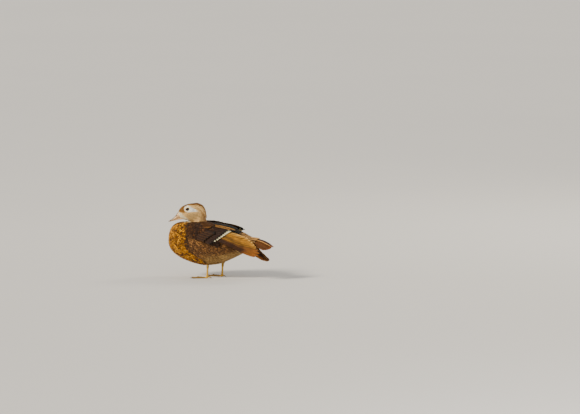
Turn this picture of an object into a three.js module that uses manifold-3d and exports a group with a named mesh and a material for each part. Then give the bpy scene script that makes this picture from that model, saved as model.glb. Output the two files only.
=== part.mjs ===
// A hen wood duck at life size, standing with its head drawn in on its breast and its wings drooped.
// Millimetres, +Z up. The bird faces -X, its left side is at -Y, and its feet stand on z = 0.
import * as THREE from 'three';
import { mergeVertices } from 'three/addons/utils/BufferGeometryUtils.js';
import Module from 'manifold-3d';

const wasm = await Module();
wasm.setup();

// Clearance kept between pieces that touch.
const GAP = 0.3;
const DEGREE = Math.PI / 180;

// The trunk from breast to rump: [x, back height, belly height, half width, height of the widest line].
const TRUNK = [
  [-146.5, 103, 103, 0, 103],
  [-143.5, 129.5, 79, 25, 100],
  [-134, 144, 65, 38, 98],
  [-118, 150.5, 53.5, 46, 97],
  [-94, 154, 43, 51, 96],
  [-62, 153.5, 35, 54, 95],
  [-26, 149.5, 32, 55, 96],
  [8, 144, 41, 51, 98],
  [38, 137, 55, 43, 100],
  [64, 129, 68, 33, 102],
  [86, 119, 84, 24, 102],
  [104, 110, 95, 15, 102.5],
  [120, 106, 98, 7, 102],
];
// The line of the trunk where the tail begins.
const RUMP_X = 80;

// The head in its own frame, from the bill's root over the crown to the folded neck:
// [forward and up on the upper line, forward and up on the lower line, half width].
const HEAD = [
  [25, -20, 25, -20, 0],
  [27.5, -12, 18, -27, 8.6],
  [20.5, 2, 10, -31, 14],
  [8, 10.5, 0, -33, 18.6],
  [-8, 15, -9, -36, 21.2],
  [-26, 14.8, -15, -39, 22],
  [-40.5, 7.5, -17, -43, 22],
  [-47.5, -8, -15, -48, 23],
  [-51, -28, -9, -55, 26],
  [-60, -50, 2, -66, 33],
];
const HEAD_PIVOT = new THREE.Vector3(-93.2, -9.4, 188);
const HEAD_TURN = 22 * DEGREE;

const EYE_RADIUS = 6.3;
const EYE = { forward: 0, up: 0, side: 13.6 };
const LID_RADIUS = 6.4;
const LID_THICK = 1.5;

// The bill: [forward, culmen height, height of the mouth line, lower edge, half width].
const BILL = [
  [12, -6, -23.4, -29.4, 7.6],
  [20, -6.5, -24.6, -29.6, 7.9],
  [27.5, -11.2, -27, -30.6, 7.9],
  [33, -19, -29, -32, 7.6],
  [39.5, -25.6, -31, -33.6, 7.4],
  [45, -29.6, -32.8, -34.8, 7],
  [50, -33.6, -35, -36, 4.6],
];
const NAIL = { forward: 50.2, up: -35.2, length: 3.2, width: 3.4, height: 2.2 };
const NOSTRIL = { forward: 32, up: -19.6, side: 4.6, length: 2.8, height: 1.1, depth: 2.4 };

// Feet: where each ankle stands, and the toes' lengths and spread.
const LEGS = {
  left: { side: -1, x: -27 },
  right: { side: 1, x: -5 },
};
const STANCE = 27;
const ANKLE_Z = 35;
const SHANK_RADIUS = 2.7;
const HIP = { x: 6, z: 66, radius: 17, side: 26 };
const TOE_RADIUS = 2.1;
const TOES = [
  { name: 'inner', length: 39, turn: -27 },
  { name: 'middle', length: 49, turn: 0 },
  { name: 'outer', length: 46, turn: 24 },
];
const TOE_OUT = 7 * DEGREE;
const WEB_THICK = 0.9;

// The wing's own surface, over the flank and out past the rump: [x, top, bottom, half width, widest height].
const WING_FIELD = [
  [-120, 149, 48, 44, 98],
  [-80, 153.5, 37, 55, 97],
  [-40, 150.5, 30, 57, 97],
  [0, 148, 36, 54.5, 98],
  [40, 143, 44, 47, 99],
  [80, 129, 40, 43, 94],
  [120, 118, 28, 41, 84],
  [160, 104, 16, 38, 72],
];
// The arm of the folded wing: [x, angle of the lower edge, angle of the upper edge, thickness].
const WING_ARM = [
  [-104, 30, 46, 0.8],
  [-99, 24, 60, 2.6],
  [-88, 19, 70, 4.6],
  [-70, 15, 80, 6],
  [-45, 11, 83, 6.6],
  [-20, 4, 82, 6.2],
  [0, -3, 80, 5],
  [14, -6, 77, 3.4],
  [20, -7, 75, 1.2],
];
const ARM_RIM = 0.8;
const ARM_LIFT = 0.2;

const VANE_THICK = 0.6;
// How far one vane of a tier lies above the next.
const SHINGLE = 0.98;

// Tiers of the wing, each from its lowest feather upwards. In a tier, line gives the angle of the lowest
// feather's shaft by x, step the angle between shafts, lift the height off the wing's surface.
const WING_TIERS = {
  primaries: {
    root: 4,
    tips: {
      left: [121, 131, 134, 130, 124, 119, 113, 106, 98, 88],
      right: [118, 128, 131, 123, 111, 104, 99, 95, 91, 86],
    },
    halfWidth: 6.8,
    rootShare: 0.5,
    line: [[-10, 17], [10, 14], [29, 9], [78, -9], [120, -13], [140, -15]],
    step: [[-10, 3], [29, 3.3], [93, 6], [140, 6.6]],
    lift: [[-10, 1.9], [140, 1.9]],
    segments: 6,
  },
  secondaries: {
    root: -27,
    tips: {
      left: [-2, 5, 12, 19, 25, 31, 36, 41, 45, 49, 59, 72, 62],
      right: [-2, 5, 12, 19, 25, 31, 36, 41, 45, 48, 53, 59, 55],
    },
    halfWidth: 7.4,
    rootShare: 0.8,
    line: [[-45, 19], [-30, 16], [8, 2], [50, -12], [80, -20]],
    step: [[-45, 4.9], [-30, 5], [14, 5.8], [50, 6.6], [80, 7]],
    lift: [[-40, 2.4], [8, 5.6], [80, 5.6]],
    segments: 4,
  },
  coverts: {
    root: -44,
    tips: {
      left: [-20, -14, -7, 0, 8],
      right: [-20, -14, -7, 0, 8],
    },
    halfWidth: 7.2,
    rootShare: 0.8,
    line: [[-60, 21], [-30, 15.5], [14, 0]],
    step: [[-60, 6.2], [-30, 6.5], [14, 7.3]],
    lift: [[-55, 3.2], [-25, 6.6], [-5, 8.3], [22, 9.2]],
    segments: 4,
  },
  scapulars: {
    root: -54,
    tips: {
      left: [-8, -2, -6, -14, -24],
      right: [-8, -2, -6, -14, -24],
    },
    halfWidth: 7.2,
    rootShare: 0.7,
    line: [[-70, 52], [0, 52]],
    step: [[-70, 5.6], [0, 5.6]],
    lift: [[-70, 3], [-30, 7.2], [0, 9]],
    segments: 4,
  },
};
// The right wing hangs lower than the left: [x, degrees]. Its hand is also closed further: [x, share].
const CLOSED = {
  left: [[0, 1], [140, 1]],
  right: [[20, 1], [90, 0.5], [140, 0.5]],
};
const DROOP = {
  left: [[-60, 0], [140, 0]],
  right: [[-60, 0], [0, 4], [60, 12], [120, 22]],
};

// The tail: feathers on each side of the ridge, from the middle outwards.
const TAIL = {
  root: new THREE.Vector3(84, 0, 113),
  feathers: 7,
  length: 70,
  shorter: 14,
  halfWidth: 8.4,
  turn: 2.5,
  roll: 7 * DEGREE,
  slope: 0.38,
  bluntness: 12,
  sag: 19,
};
const TAIL_COVERTS = [[0, 33, 2.6], [-1, 30, 1.35], [1, 30, 1.35]];

// Locks of the crest down the back of the head, by angle about the crown.
const CREST = { from: 0.55, to: 0.85, angles: [-54, -40.5, -27, -13.5, 0, 13.5, 27, 40.5, 54], halfWidth: 2.5 };

// A row's numbers as one smooth line through all the rows, leaving the first row square to the axis.
function smoothLine(points, mirrored) {
  const lead = mirrored.slice(1, 3).reverse();
  const curve = new THREE.CatmullRomCurve3([...lead, ...points], false, 'catmullrom', 0.5);
  const first = lead.length / (curve.points.length - 1);
  return (t) => curve.getPoint(first + (1 - first) * t);
}

// A closed form between an upper line, a lower line and a line of half widths.
// Its at(t, angle, grow) gives a point of the surface: angle 0 is the side, 90 degrees the top.
function formOf(uppers, lowers, centres, widths) {
  const upper = smoothLine(uppers, lowers);
  const lower = smoothLine(lowers, uppers);
  const sides = centres.map((c, i) => new THREE.Vector3(c.x, widths[i], c.z));
  const side = smoothLine(sides, sides.map((s) => new THREE.Vector3(s.x, -s.y, s.z)));
  const BOXY = 0.92;
  return {
    at(t, angle, grow = 0) {
      const edge = side(t);
      const centre = new THREE.Vector3(edge.x, 0, edge.z);
      const arm = (Math.sin(angle) >= 0 ? upper(t) : lower(t)).sub(centre);
      arm.setLength(arm.length() + grow);
      const rise = Math.abs(Math.sin(angle)) ** BOXY;
      const across = Math.sign(Math.cos(angle)) * Math.abs(Math.cos(angle)) ** BOXY;
      return centre.addScaledVector(arm, rise).add(new THREE.Vector3(0, (edge.y + grow) * across, 0));
    },
  };
}

// A form from rows that stand square to X.
const trunkForm = (rows) => formOf(
  rows.map(([x, top]) => new THREE.Vector3(x, 0, top)),
  rows.map(([x, , bottom]) => new THREE.Vector3(x, 0, bottom)),
  rows.map(([x, , , , middle]) => new THREE.Vector3(x, 0, middle)),
  rows.map(([, , , width]) => width),
);

// The head's form: forward in its frame is -X.
const headForm = () => formOf(
  HEAD.map(([f, u]) => new THREE.Vector3(-f, 0, u)),
  HEAD.map(([, , f, u]) => new THREE.Vector3(-f, 0, u)),
  HEAD.map(([f, u, g, v]) => new THREE.Vector3(-(f + g) / 2, 0, (u + v) / 2)),
  HEAD.map((row) => row[4]),
);

// Turns a closed geometry into a solid, with its faces turned outwards.
function solidOf(geometry) {
  const bare = new THREE.BufferGeometry().setAttribute('position', geometry.getAttribute('position').clone());
  if (geometry.index) bare.setIndex(geometry.index.clone());
  const merged = mergeVertices(bare, 1e-3);
  const corners = merged.getAttribute('position').array;
  const kept = [];
  for (let i = 0; i < merged.index.count; i += 3) {
    const [a, b, c] = [0, 1, 2].map((k) => merged.index.getX(i + k));
    if (a !== b && b !== c && c !== a) kept.push(a, b, c);
  }
  const make = (faces) => new wasm.Manifold(
    new wasm.Mesh({ numProp: 3, vertProperties: new Float32Array(corners), triVerts: new Uint32Array(faces) }),
  );
  const made = make(kept);
  return made.volume() >= 0 ? made : make(kept.toReversed());
}

// The solid as a geometry again.
function geometryOf(solid) {
  const mesh = solid.getMesh();
  const geometry = new THREE.BufferGeometry();
  geometry.setAttribute('position', new THREE.BufferAttribute(new Float32Array(mesh.vertProperties), 3));
  geometry.setIndex(new THREE.BufferAttribute(new Uint32Array(mesh.triVerts), 1));
  const flat = geometry.toNonIndexed();
  flat.computeVertexNormals();
  return flat;
}

const joined = (solids) => solids.reduce((whole, solid) => whole.add(solid));

// The largest closed body of a solid, without loose scraps.
const largest = (solid) => solid.decompose().reduce((a, b) => (b.volume() > a.volume() ? b : a));

// A closed skin over rings of points, each with the same count, closed by a fan at both ends.
function skinOver(rings) {
  const count = rings[0].length;
  const centreOf = (ring) => ring.reduce((sum, p) => sum.add(p), new THREE.Vector3()).divideScalar(count);
  const points = [...rings.flat(), centreOf(rings[0]), centreOf(rings.at(-1))];
  const last = (rings.length - 1) * count;
  const faces = [];
  for (let j = 0; j < count; j += 1) {
    const k = (j + 1) % count;
    for (let i = 0; i < last; i += count) {
      faces.push(i + j, i + k, i + count + j, i + k, i + count + k, i + count + j);
    }
    faces.push(points.length - 2, k, j, points.length - 1, last + j, last + k);
  }
  return solidOf(new THREE.BufferGeometry().setFromPoints(points).setIndex(faces));
}

// A closed form's solid, from one share of its length to another.
function formSolid(form, steps, sides, grow = 0, from = 0) {
  const rings = [];
  for (let i = 0; i <= steps; i += 1) {
    const share = i / steps;
    const t = from + (1 - from) * share ** 1.25;
    rings.push(Array.from({ length: sides }, (_, j) => form.at(t, (2 * Math.PI * j) / sides, grow)));
  }
  return skinOver(rings);
}

// A thin plate between a lower and an upper sheet of points, cut into triangles alike on both.
function plateOf(rows) {
  const across = rows[0].length;
  const down = rows.length;
  const points = [...rows.flat().map(([lower]) => lower), ...rows.flat().map(([, upper]) => upper)];
  const shift = across * down;
  const faces = [];
  for (let i = 0; i < down - 1; i += 1) {
    for (let j = 0; j < across - 1; j += 1) {
      const a = i * across + j;
      const [b, c, d] = [a + 1, a + across, a + across + 1];
      faces.push(a, c, b, b, c, d);
      faces.push(a + shift, b + shift, c + shift, b + shift, d + shift, c + shift);
    }
  }
  const rim = [];
  for (let j = 0; j < across - 1; j += 1) rim.push(j);
  for (let i = 0; i < down - 1; i += 1) rim.push(i * across + across - 1);
  for (let j = across - 1; j > 0; j -= 1) rim.push((down - 1) * across + j);
  for (let i = down - 1; i > 0; i -= 1) rim.push(i * across);
  rim.forEach((a, n) => {
    const b = rim[(n + 1) % rim.length];
    faces.push(a, b, a + shift, b, b + shift, a + shift);
  });
  return solidOf(new THREE.BufferGeometry().setFromPoints(points).setIndex(faces));
}

// A round limb along points, with a radius at each, flattened in height by flat.
function limbOf(points, radii, sides, flat = 1) {
  const rings = points.map((p, i) => {
    const along = points[Math.min(i + 1, points.length - 1)].clone().sub(points[Math.max(i - 1, 0)]).normalize();
    const level = new THREE.Vector3().crossVectors(along, new THREE.Vector3(0.02, 0.01, 1)).normalize();
    const rise = new THREE.Vector3().crossVectors(level, along);
    return Array.from({ length: sides }, (_, j) => {
      const angle = (2 * Math.PI * j) / sides;
      return p.clone()
        .addScaledVector(level, radii[i] * Math.cos(angle))
        .addScaledVector(rise, radii[i] * flat * Math.sin(angle));
    });
  });
  return skinOver(rings);
}

// A block that covers everything on the far side of a plane: used to part or trim.
function halfSpace(point, normal) {
  const size = 600;
  const block = new THREE.BoxGeometry(size, size, size);
  block.translate(0, 0, size / 2);
  const turn = new THREE.Quaternion().setFromUnitVectors(new THREE.Vector3(0, 0, 1), normal.clone().normalize());
  block.applyQuaternion(turn);
  block.translate(point.x, point.y, point.z);
  return solidOf(block);
}

const ball = (radius, across, down) => new THREE.SphereGeometry(radius, across, down);

// A point of the head's frame, as the bird stands.
const HEAD_PLACE = new THREE.Matrix4().makeRotationZ(HEAD_TURN).setPosition(HEAD_PIVOT);
const placed = (geometry) => geometry.clone().applyMatrix4(HEAD_PLACE);
const headPoint = (forward, up, side = 0) => new THREE.Vector3(-forward, side, up).applyMatrix4(HEAD_PLACE);

const trunk = trunkForm(TRUNK);
const TRUNK_STEPS = 22;
const TRUNK_SIDES = 24;
const trunkGrown = formSolid(trunk, TRUNK_STEPS, TRUNK_SIDES, 2 * GAP);

// Trunk, neck and head are one form, parted by two thin cuts.
function headAndNeckSolid(grow = 0) {
  const rings = [];
  const form = headForm();
  const steps = 20;
  const sides = 20;
  for (let i = 0; i <= steps; i += 1) {
    const t = i / steps;
    rings.push(Array.from({ length: sides }, (_, j) => (
      form.at(t, (2 * Math.PI * j) / sides, grow).applyMatrix4(HEAD_PLACE))));
  }
  return skinOver(rings);
}

const neckGrown = headAndNeckSolid(2 * GAP);

// The cut under the head runs from the throat to the nape.
const THROAT = headPoint(-6, -35.5);
const NAPE = headPoint(-56, -25);
// The cut at the neck's root runs from the breast to the shoulders.
const BREAST = new THREE.Vector3(-150, 0, 121);
const SHOULDER = new THREE.Vector3(-36, 0, 152);
function cutNormal(front, back) {
  const along = back.clone().sub(front);
  const level = new THREE.Vector3(-along.y, along.x, 0).normalize();
  return new THREE.Vector3().crossVectors(along, level).normalize();
}
const headNormal = cutNormal(THROAT, NAPE);
const neckNormal = cutNormal(BREAST, SHOULDER);
const shifted = (point, normal, by) => point.clone().addScaledVector(normal, by);

const wholeBody = formSolid(trunk, TRUNK_STEPS, TRUNK_SIDES).add(headAndNeckSolid());
const aboveHeadCut = halfSpace(shifted(THROAT, headNormal, GAP / 2), headNormal);
const belowHeadCut = halfSpace(shifted(THROAT, headNormal, -GAP / 2), headNormal.clone().negate());
const aboveNeckCut = halfSpace(shifted(BREAST, neckNormal, GAP / 2), neckNormal);
const belowNeckCut = halfSpace(shifted(BREAST, neckNormal, -GAP / 2), neckNormal.clone().negate());
const rumpPoint = new THREE.Vector3(RUMP_X, 0, 0);
const behindRump = halfSpace(rumpPoint, new THREE.Vector3(1, 0, 0));
const behindRumpGap = halfSpace(rumpPoint.clone().setX(RUMP_X + GAP), new THREE.Vector3(1, 0, 0));

// The bill as two forms, above and below the mouth line.
function billForm(upperLine, lowerLine, widthShare, grow = 0) {
  const rings = BILL.map((row, i) => {
    const forward = row[0] - (i === 0 ? grow : 0);
    const width = row[4] + grow;
    const high = upperLine(row) + grow;
    const low = lowerLine(row) - grow;
    const sides = 12;
    return Array.from({ length: sides }, (_, j) => {
      const angle = (2 * Math.PI * j) / sides;
      const across = Math.sign(Math.cos(angle)) * Math.abs(Math.cos(angle)) ** 0.7;
      const share = (1 + Math.sin(angle)) / 2;
      return headPoint(forward, low + (high - low) * share, width * widthShare * across);
    });
  });
  return skinOver(rings);
}

function eyeBall(side, radius) {
  const geometry = ball(radius, 14, 8);
  geometry.translate(-EYE.forward, side * EYE.side, EYE.up);
  return solidOf(placed(geometry));
}

// The ring of bare skin round an eye, fused to the head.
function lidRing(side) {
  const ring = new THREE.TorusGeometry(LID_RADIUS - 0.5, LID_THICK / 2 + 0.2, 6, 14);
  ring.rotateX(Math.PI / 2);
  ring.rotateZ(side * 8 * DEGREE);
  ring.translate(-EYE.forward, side * (EYE.side + 3.9), EYE.up);
  return solidOf(placed(ring));
}

function crestSolids() {
  const form = headForm();
  const at = (t, angle, lift) => form.at(t, (90 + angle) * DEGREE, lift).applyMatrix4(HEAD_PLACE);
  return CREST.angles.map((middle) => vaneOf(4, (share, across, thick) => {
    const t = CREST.from + (CREST.to - CREST.from) * share;
    const perDegree = at(t, middle, 0).distanceTo(at(t, middle + 1, 0));
    const half = CREST.halfWidth * (share > 0.95 ? 0.25 : 1 - 0.55 * share ** 3);
    const lift = -1.2 + 3.4 * THREE.MathUtils.smoothstep(share, 0, 0.75);
    return at(t, middle + (across * half) / perDegree, lift + thick * 1.4);
  }));
}

function buildHead() {
  const bare = wholeBody.intersect(aboveHeadCut);
  const crested = joined([bare, ...crestSolids()]);
  const socketed = [-1, 1].reduce(
    (head, side) => head.add(lidRing(side)).subtract(eyeBall(side, EYE_RADIUS + GAP)),
    crested,
  );
  const rootOfUpper = billForm((row) => row[1], (row) => row[2], 1, 2 * GAP);
  const rootOfLower = billForm((row) => row[2], (row) => row[3], 0.9, 2 * GAP);
  return largest(socketed.subtract(rootOfUpper).subtract(rootOfLower));
}

function buildBillUpper() {
  const horn = billForm((row) => row[1], (row) => row[2] + GAP / 2, 1);
  const nail = ball(1, 10, 8);
  nail.scale(NAIL.length, NAIL.width, NAIL.height);
  nail.translate(-NAIL.forward, 0, NAIL.up);
  const nostrils = [-1, 1].map((side) => {
    const pit = ball(1, 8, 6);
    pit.scale(NOSTRIL.length, NOSTRIL.depth, NOSTRIL.height);
    pit.rotateY(-35 * DEGREE);
    pit.translate(-NOSTRIL.forward, side * (NOSTRIL.side + 1.6), NOSTRIL.up);
    return solidOf(placed(pit));
  });
  const belowMouth = billForm((row) => row[2] + GAP / 2, (row) => row[3] - 3, 1.3);
  return largest(horn.add(solidOf(placed(nail))).subtract(belowMouth).subtract(joined(nostrils)));
}

function buildBillLower() {
  const jaw = billForm((row) => row[2] - GAP / 2, (row) => row[3], 0.9);
  return largest(jaw);
}

const torsoSolid = largest(wholeBody.intersect(belowNeckCut).subtract(behindRump));
const neckSolid = largest(wholeBody.intersect(aboveNeckCut).intersect(belowHeadCut));

// A value between the rows of a short table of [place, value].
function between(table, place) {
  const after = table.findIndex(([at]) => at >= place);
  if (after === 0) return table[0][1];
  if (after < 0) return table.at(-1)[1];
  const [[a, low], [b, high]] = [table[after - 1], table[after]];
  return low + ((high - low) * (place - a)) / (b - a);
}

// A feather's outline: half width at a share of its length, from a narrow root to a round end.
function outlineOf(rootShare, share) {
  const grown = THREE.MathUtils.smoothstep(share, -0.1, 0.45);
  const end = Math.max(0, (share - 0.72) / 0.28);
  return (rootShare + (1 - rootShare) * grown) * (0.22 + 0.78 * Math.sqrt(Math.max(0, 1 - end ** 2.2)));
}

// One vane on a surface. lay(share, across) gives the point's place and lift(across) its height;
// pointAt turns them into a point of the surface.
function vaneOf(segments, lay) {
  const rows = [];
  for (let i = 0; i <= segments; i += 1) {
    const share = i < segments - 1 ? i / (segments - 0.4) : [0.9, 1][i - segments + 1];
    rows.push([-1, 0, 1].map((across) => [lay(share, across, 0), lay(share, across, VANE_THICK)]));
  }
  return plateOf(rows);
}

const wingField = trunkForm(WING_FIELD);
const WING_FROM = WING_FIELD[0][0];
const WING_TO = WING_FIELD.at(-1)[0];

// A point of a wing: x, angle about the body in degrees, height off the surface, and the wing's side.
function wingPoint(x, angle, lift, name) {
  const lowered = angle - between(DROOP[name], x);
  const point = wingField.at((x - WING_FROM) / (WING_TO - WING_FROM), lowered * DEGREE, lift);
  point.y *= LEGS[name].side;
  return point;
}

function armSolid(name) {
  const across = 6;
  const stations = 12;
  const first = WING_ARM[0][0];
  const length = WING_ARM.at(-1)[0] - first;
  const column = (k) => WING_ARM.map((row) => [row[0], row[k]]);
  const rows = [];
  for (let i = 0; i <= stations; i += 1) {
    const x = first + length * (0.5 - 0.5 * Math.cos((Math.PI * i) / stations));
    const low = between(column(1), x);
    const high = between(column(2), x);
    const thick = between(column(3), x);
    const row = [];
    for (let j = 0; j <= across; j += 1) {
      const q = (2 * j) / across - 1;
      const angle = low + ((high - low) * (q + 1)) / 2;
      const swell = ARM_RIM + thick * (1 - Math.abs(q) ** 2.5);
      row.push([wingPoint(x, angle, ARM_LIFT, name), wingPoint(x, angle, ARM_LIFT + swell, name)]);
    }
    rows.push(row);
  }
  return plateOf(rows);
}

function tierSolids(tier, name) {
  const step = (x) => between(tier.step, x) * (tier === WING_TIERS.primaries ? between(CLOSED[name], x) : 1);
  return tier.tips[name].map((tip, n) => {
    const shaft = (x) => between(tier.line, x) + n * step(x);
    return vaneOf(tier.segments, (share, across, thick) => {
      const x = tier.root + (tip - tier.root) * share;
      const angle = shaft(x);
      const here = wingPoint(x, angle, 0, name);
      const perDegree = here.distanceTo(wingPoint(x, angle + 1, 0, name));
      const half = tier.halfWidth * outlineOf(tier.rootShare, share);
      const pitch = step(x) * perDegree;
      const lift = between(tier.lift, x) + (across * half * SHINGLE) / pitch;
      return wingPoint(x, angle - (across * half) / perDegree, lift + thick, name);
    });
  });
}

function wingSolid(name) {
  const vanes = Object.values(WING_TIERS).flatMap((tier) => tierSolids(tier, name));
  return largest(joined([armSolid(name), ...vanes]).subtract(trunkGrown).subtract(neckGrown));
}

// A point of the tail: distance from its root, distance from the ridge, height off its surface.
function tailPoint(along, aside, lift) {
  const { slope, bluntness, sag, roll, root, length } = TAIL;
  const tent = slope * (Math.hypot(aside, bluntness) - bluntness);
  const drop = 0.05 * along + sag * (Math.max(0, along) / (length + 2)) ** 3.2;
  return new THREE.Vector3(along, aside, lift - tent - drop)
    .applyAxisAngle(new THREE.Vector3(1, 0, 0), roll)
    .add(root);
}

function tailVane(side, n, length, lift, from) {
  const turn = Math.tan((1.3 + TAIL.turn * n) * DEGREE);
  return vaneOf(4, (share, across, thick) => {
    const along = from + (length - from) * share;
    const aside = side * (0.6 + 1.4 * n + along * turn);
    const half = TAIL.halfWidth * outlineOf(0.6, share);
    return tailPoint(along, aside + side * across * half, lift + thick);
  });
}

function tailSolid() {
  const vanes = [];
  for (let n = 0; n < TAIL.feathers; n += 1) {
    const length = TAIL.length - TAIL.shorter * (n / (TAIL.feathers - 1)) ** 2;
    const depth = n < 2 ? 2 * n * 1.1 : 3.5 + (n - 2) * SHINGLE;
    const aside = n < 2 ? 1.1 : 0;
    vanes.push(tailVane(-1, n, length, -depth, 4));
    vanes.push(tailVane(1, n, length, -depth - aside, 4));
  }
  const coverts = TAIL_COVERTS.map(([side, length, lift]) => (
    tailVane(side || 1, side ? 2.2 : -0.4, length, lift, -3)));
  const core = formSolid(trunk, TRUNK_STEPS, TRUNK_SIDES).intersect(behindRumpGap);
  const inFront = halfSpace(rumpPoint.clone().setX(RUMP_X + GAP), new THREE.Vector3(-1, 0, 0));
  return largest(joined([core, ...vanes, ...coverts]).subtract(inFront));
}

// A leg's feathered upper part, the bare shank and the webbed foot.
function buildThigh(leg) {
  const y = leg.side * STANCE;
  const points = [
    new THREE.Vector3(leg.x + HIP.x, leg.side * HIP.side, HIP.z),
    new THREE.Vector3(leg.x + HIP.x * 0.8, y, 52),
    new THREE.Vector3(leg.x + 3, y, 43),
    new THREE.Vector3(leg.x + 1, y, ANKLE_Z + 1),
  ];
  return largest(limbOf(points, [HIP.radius, 12, 6.5, 4], 12).subtract(torsoGrown));
}

function buildShank(leg) {
  const y = leg.side * STANCE;
  const points = [
    new THREE.Vector3(leg.x + 1, y, ANKLE_Z + 0.5),
    new THREE.Vector3(leg.x + 1, y, ANKLE_Z - 3),
    new THREE.Vector3(leg.x + 0.5, y, ANKLE_Z - 9),
    new THREE.Vector3(leg.x, y, 14),
    new THREE.Vector3(leg.x - 0.5, y, 7.5),
  ];
  const radii = [3.2, 3.7, SHANK_RADIUS, SHANK_RADIUS, 3.1];
  return largest(limbOf(points, radii, 10));
}

// One toe with its joints and claw, flat underneath.
function toeOf(length, turn, radius) {
  const knuckles = [0, 0.16, 0.3, 0.45, 0.6, 0.74, 0.86];
  const swell = [1.15, 0.95, 1.12, 0.9, 1.08, 0.85, 0.8];
  const points = knuckles.map((s) => new THREE.Vector3(-s * length, 0, radius * 0.75));
  const toe = limbOf(points, swell.map((k) => k * radius), 6, 0.85);
  const claw = limbOf(
    [0.84, 0.92, 1].map((s, i) => new THREE.Vector3(-s * length, 0, [1.5, 1.9, 0.6][i])),
    [1.3, 1.0, 0.3],
    6,
  );
  const turned = (solid) => solidOf(geometryOf(solid).rotateZ(turn));
  return turned(toe.add(claw));
}

function buildFoot(leg) {
  const turnOf = (toe) => leg.side * (toe.turn * DEGREE + TOE_OUT) * -1;
  const toes = TOES.map((toe) => toeOf(toe.length, turnOf(toe), TOE_RADIUS));
  const tipOf = (toe, share) => new THREE.Vector3(-toe.length * share, 0, 0)
    .applyAxisAngle(new THREE.Vector3(0, 0, 1), turnOf(toe));
  const webs = [[TOES[0], TOES[1]], [TOES[1], TOES[2]]].map(([a, b]) => {
    const rows = [0.05, 0.3, 0.55, 0.8].map((share) => [0, 0.25, 0.5, 0.75, 1].map((across) => {
      const scallop = 1 - 0.22 * share * Math.sin(Math.PI * across);
      const point = tipOf(a, share * scallop).lerp(tipOf(b, share * scallop), across);
      const sag = 0.5;
      return [point.clone().setZ(sag), point.clone().setZ(sag + WEB_THICK)];
    }));
    return plateOf(rows);
  });
  const hallux = limbOf([
    new THREE.Vector3(0.5, leg.side * -1, 6),
    new THREE.Vector3(7, leg.side * -2.5, 3.4),
    new THREE.Vector3(13, leg.side * -4, 0.9),
  ], [1.9, 1.5, 0.4], 6);
  const heel = ball(4, 10, 8);
  heel.scale(1, 0.9, 1);
  heel.translate(0, 0, 3.6);
  const foot = joined([solidOf(heel), ...toes, ...webs, hallux]);
  const place = new THREE.Matrix4().setPosition(leg.x - 1, leg.side * STANCE, 0);
  const stands = solidOf(geometryOf(foot).applyMatrix4(place));
  const floor = halfSpace(new THREE.Vector3(0, 0, 0), new THREE.Vector3(0, 0, -1));
  return largest(stands.subtract(floor));
}

const torsoGrown = trunkGrown;
const shanks = Object.fromEntries(Object.entries(LEGS).map(([name, leg]) => [name, buildShank(leg)]));
const feet = Object.fromEntries(Object.entries(LEGS).map(([name, leg]) => [name, buildFoot(leg)]));

const paint = (colour, roughness) => new THREE.MeshStandardMaterial({ color: colour, roughness, metalness: 0 });
const PAINTS = {
  breast: paint(0xa8742c, 0.8),
  head: paint(0xb08d63, 0.8),
  wing: paint(0x4a3523, 0.6),
  tail: paint(0x4f331f, 0.6),
  horn: paint(0x6b6a66, 0.4),
  eye: paint(0x120c08, 0.1),
  leg: paint(0xb08a22, 0.5),
};

const bird = new THREE.Group();
function addPiece(name, solid, material) {
  const mesh = new THREE.Mesh(geometryOf(solid), material);
  mesh.name = name;
  bird.add(mesh);
}

addPiece('torso', torsoSolid, PAINTS.breast);
addPiece('neck', neckSolid, PAINTS.breast);
addPiece('head', buildHead(), PAINTS.head);
addPiece('bill_upper', buildBillUpper(), PAINTS.horn);
addPiece('bill_lower', buildBillLower(), PAINTS.horn);
addPiece('eye_left', eyeBall(-1, EYE_RADIUS), PAINTS.eye);
addPiece('eye_right', eyeBall(1, EYE_RADIUS), PAINTS.eye);
addPiece('tail', tailSolid(), PAINTS.tail);
addPiece('wing_left', wingSolid('left'), PAINTS.wing);
addPiece('wing_right', wingSolid('right'), PAINTS.wing);
for (const [name, leg] of Object.entries(LEGS)) {
  addPiece(`thigh_${name}`, largest(buildThigh(leg).subtract(halfSpace(
    new THREE.Vector3(0, 0, ANKLE_Z + 0.5 + GAP),
    new THREE.Vector3(0, 0, -1),
  ))), PAINTS.breast);
  addPiece(`shank_${name}`, largest(shanks[name].subtract(feet[name])), PAINTS.leg);
  addPiece(`foot_${name}`, feet[name], PAINTS.leg);
}

// The origin goes under the middle of the bird's box, on the floor.
const box = new THREE.Box3().setFromObject(bird);
const middle = box.getCenter(new THREE.Vector3());
bird.position.set(-middle.x, -middle.y, 0);

export default bird;
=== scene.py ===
"""A hen wood duck at life size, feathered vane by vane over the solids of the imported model."""

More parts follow.
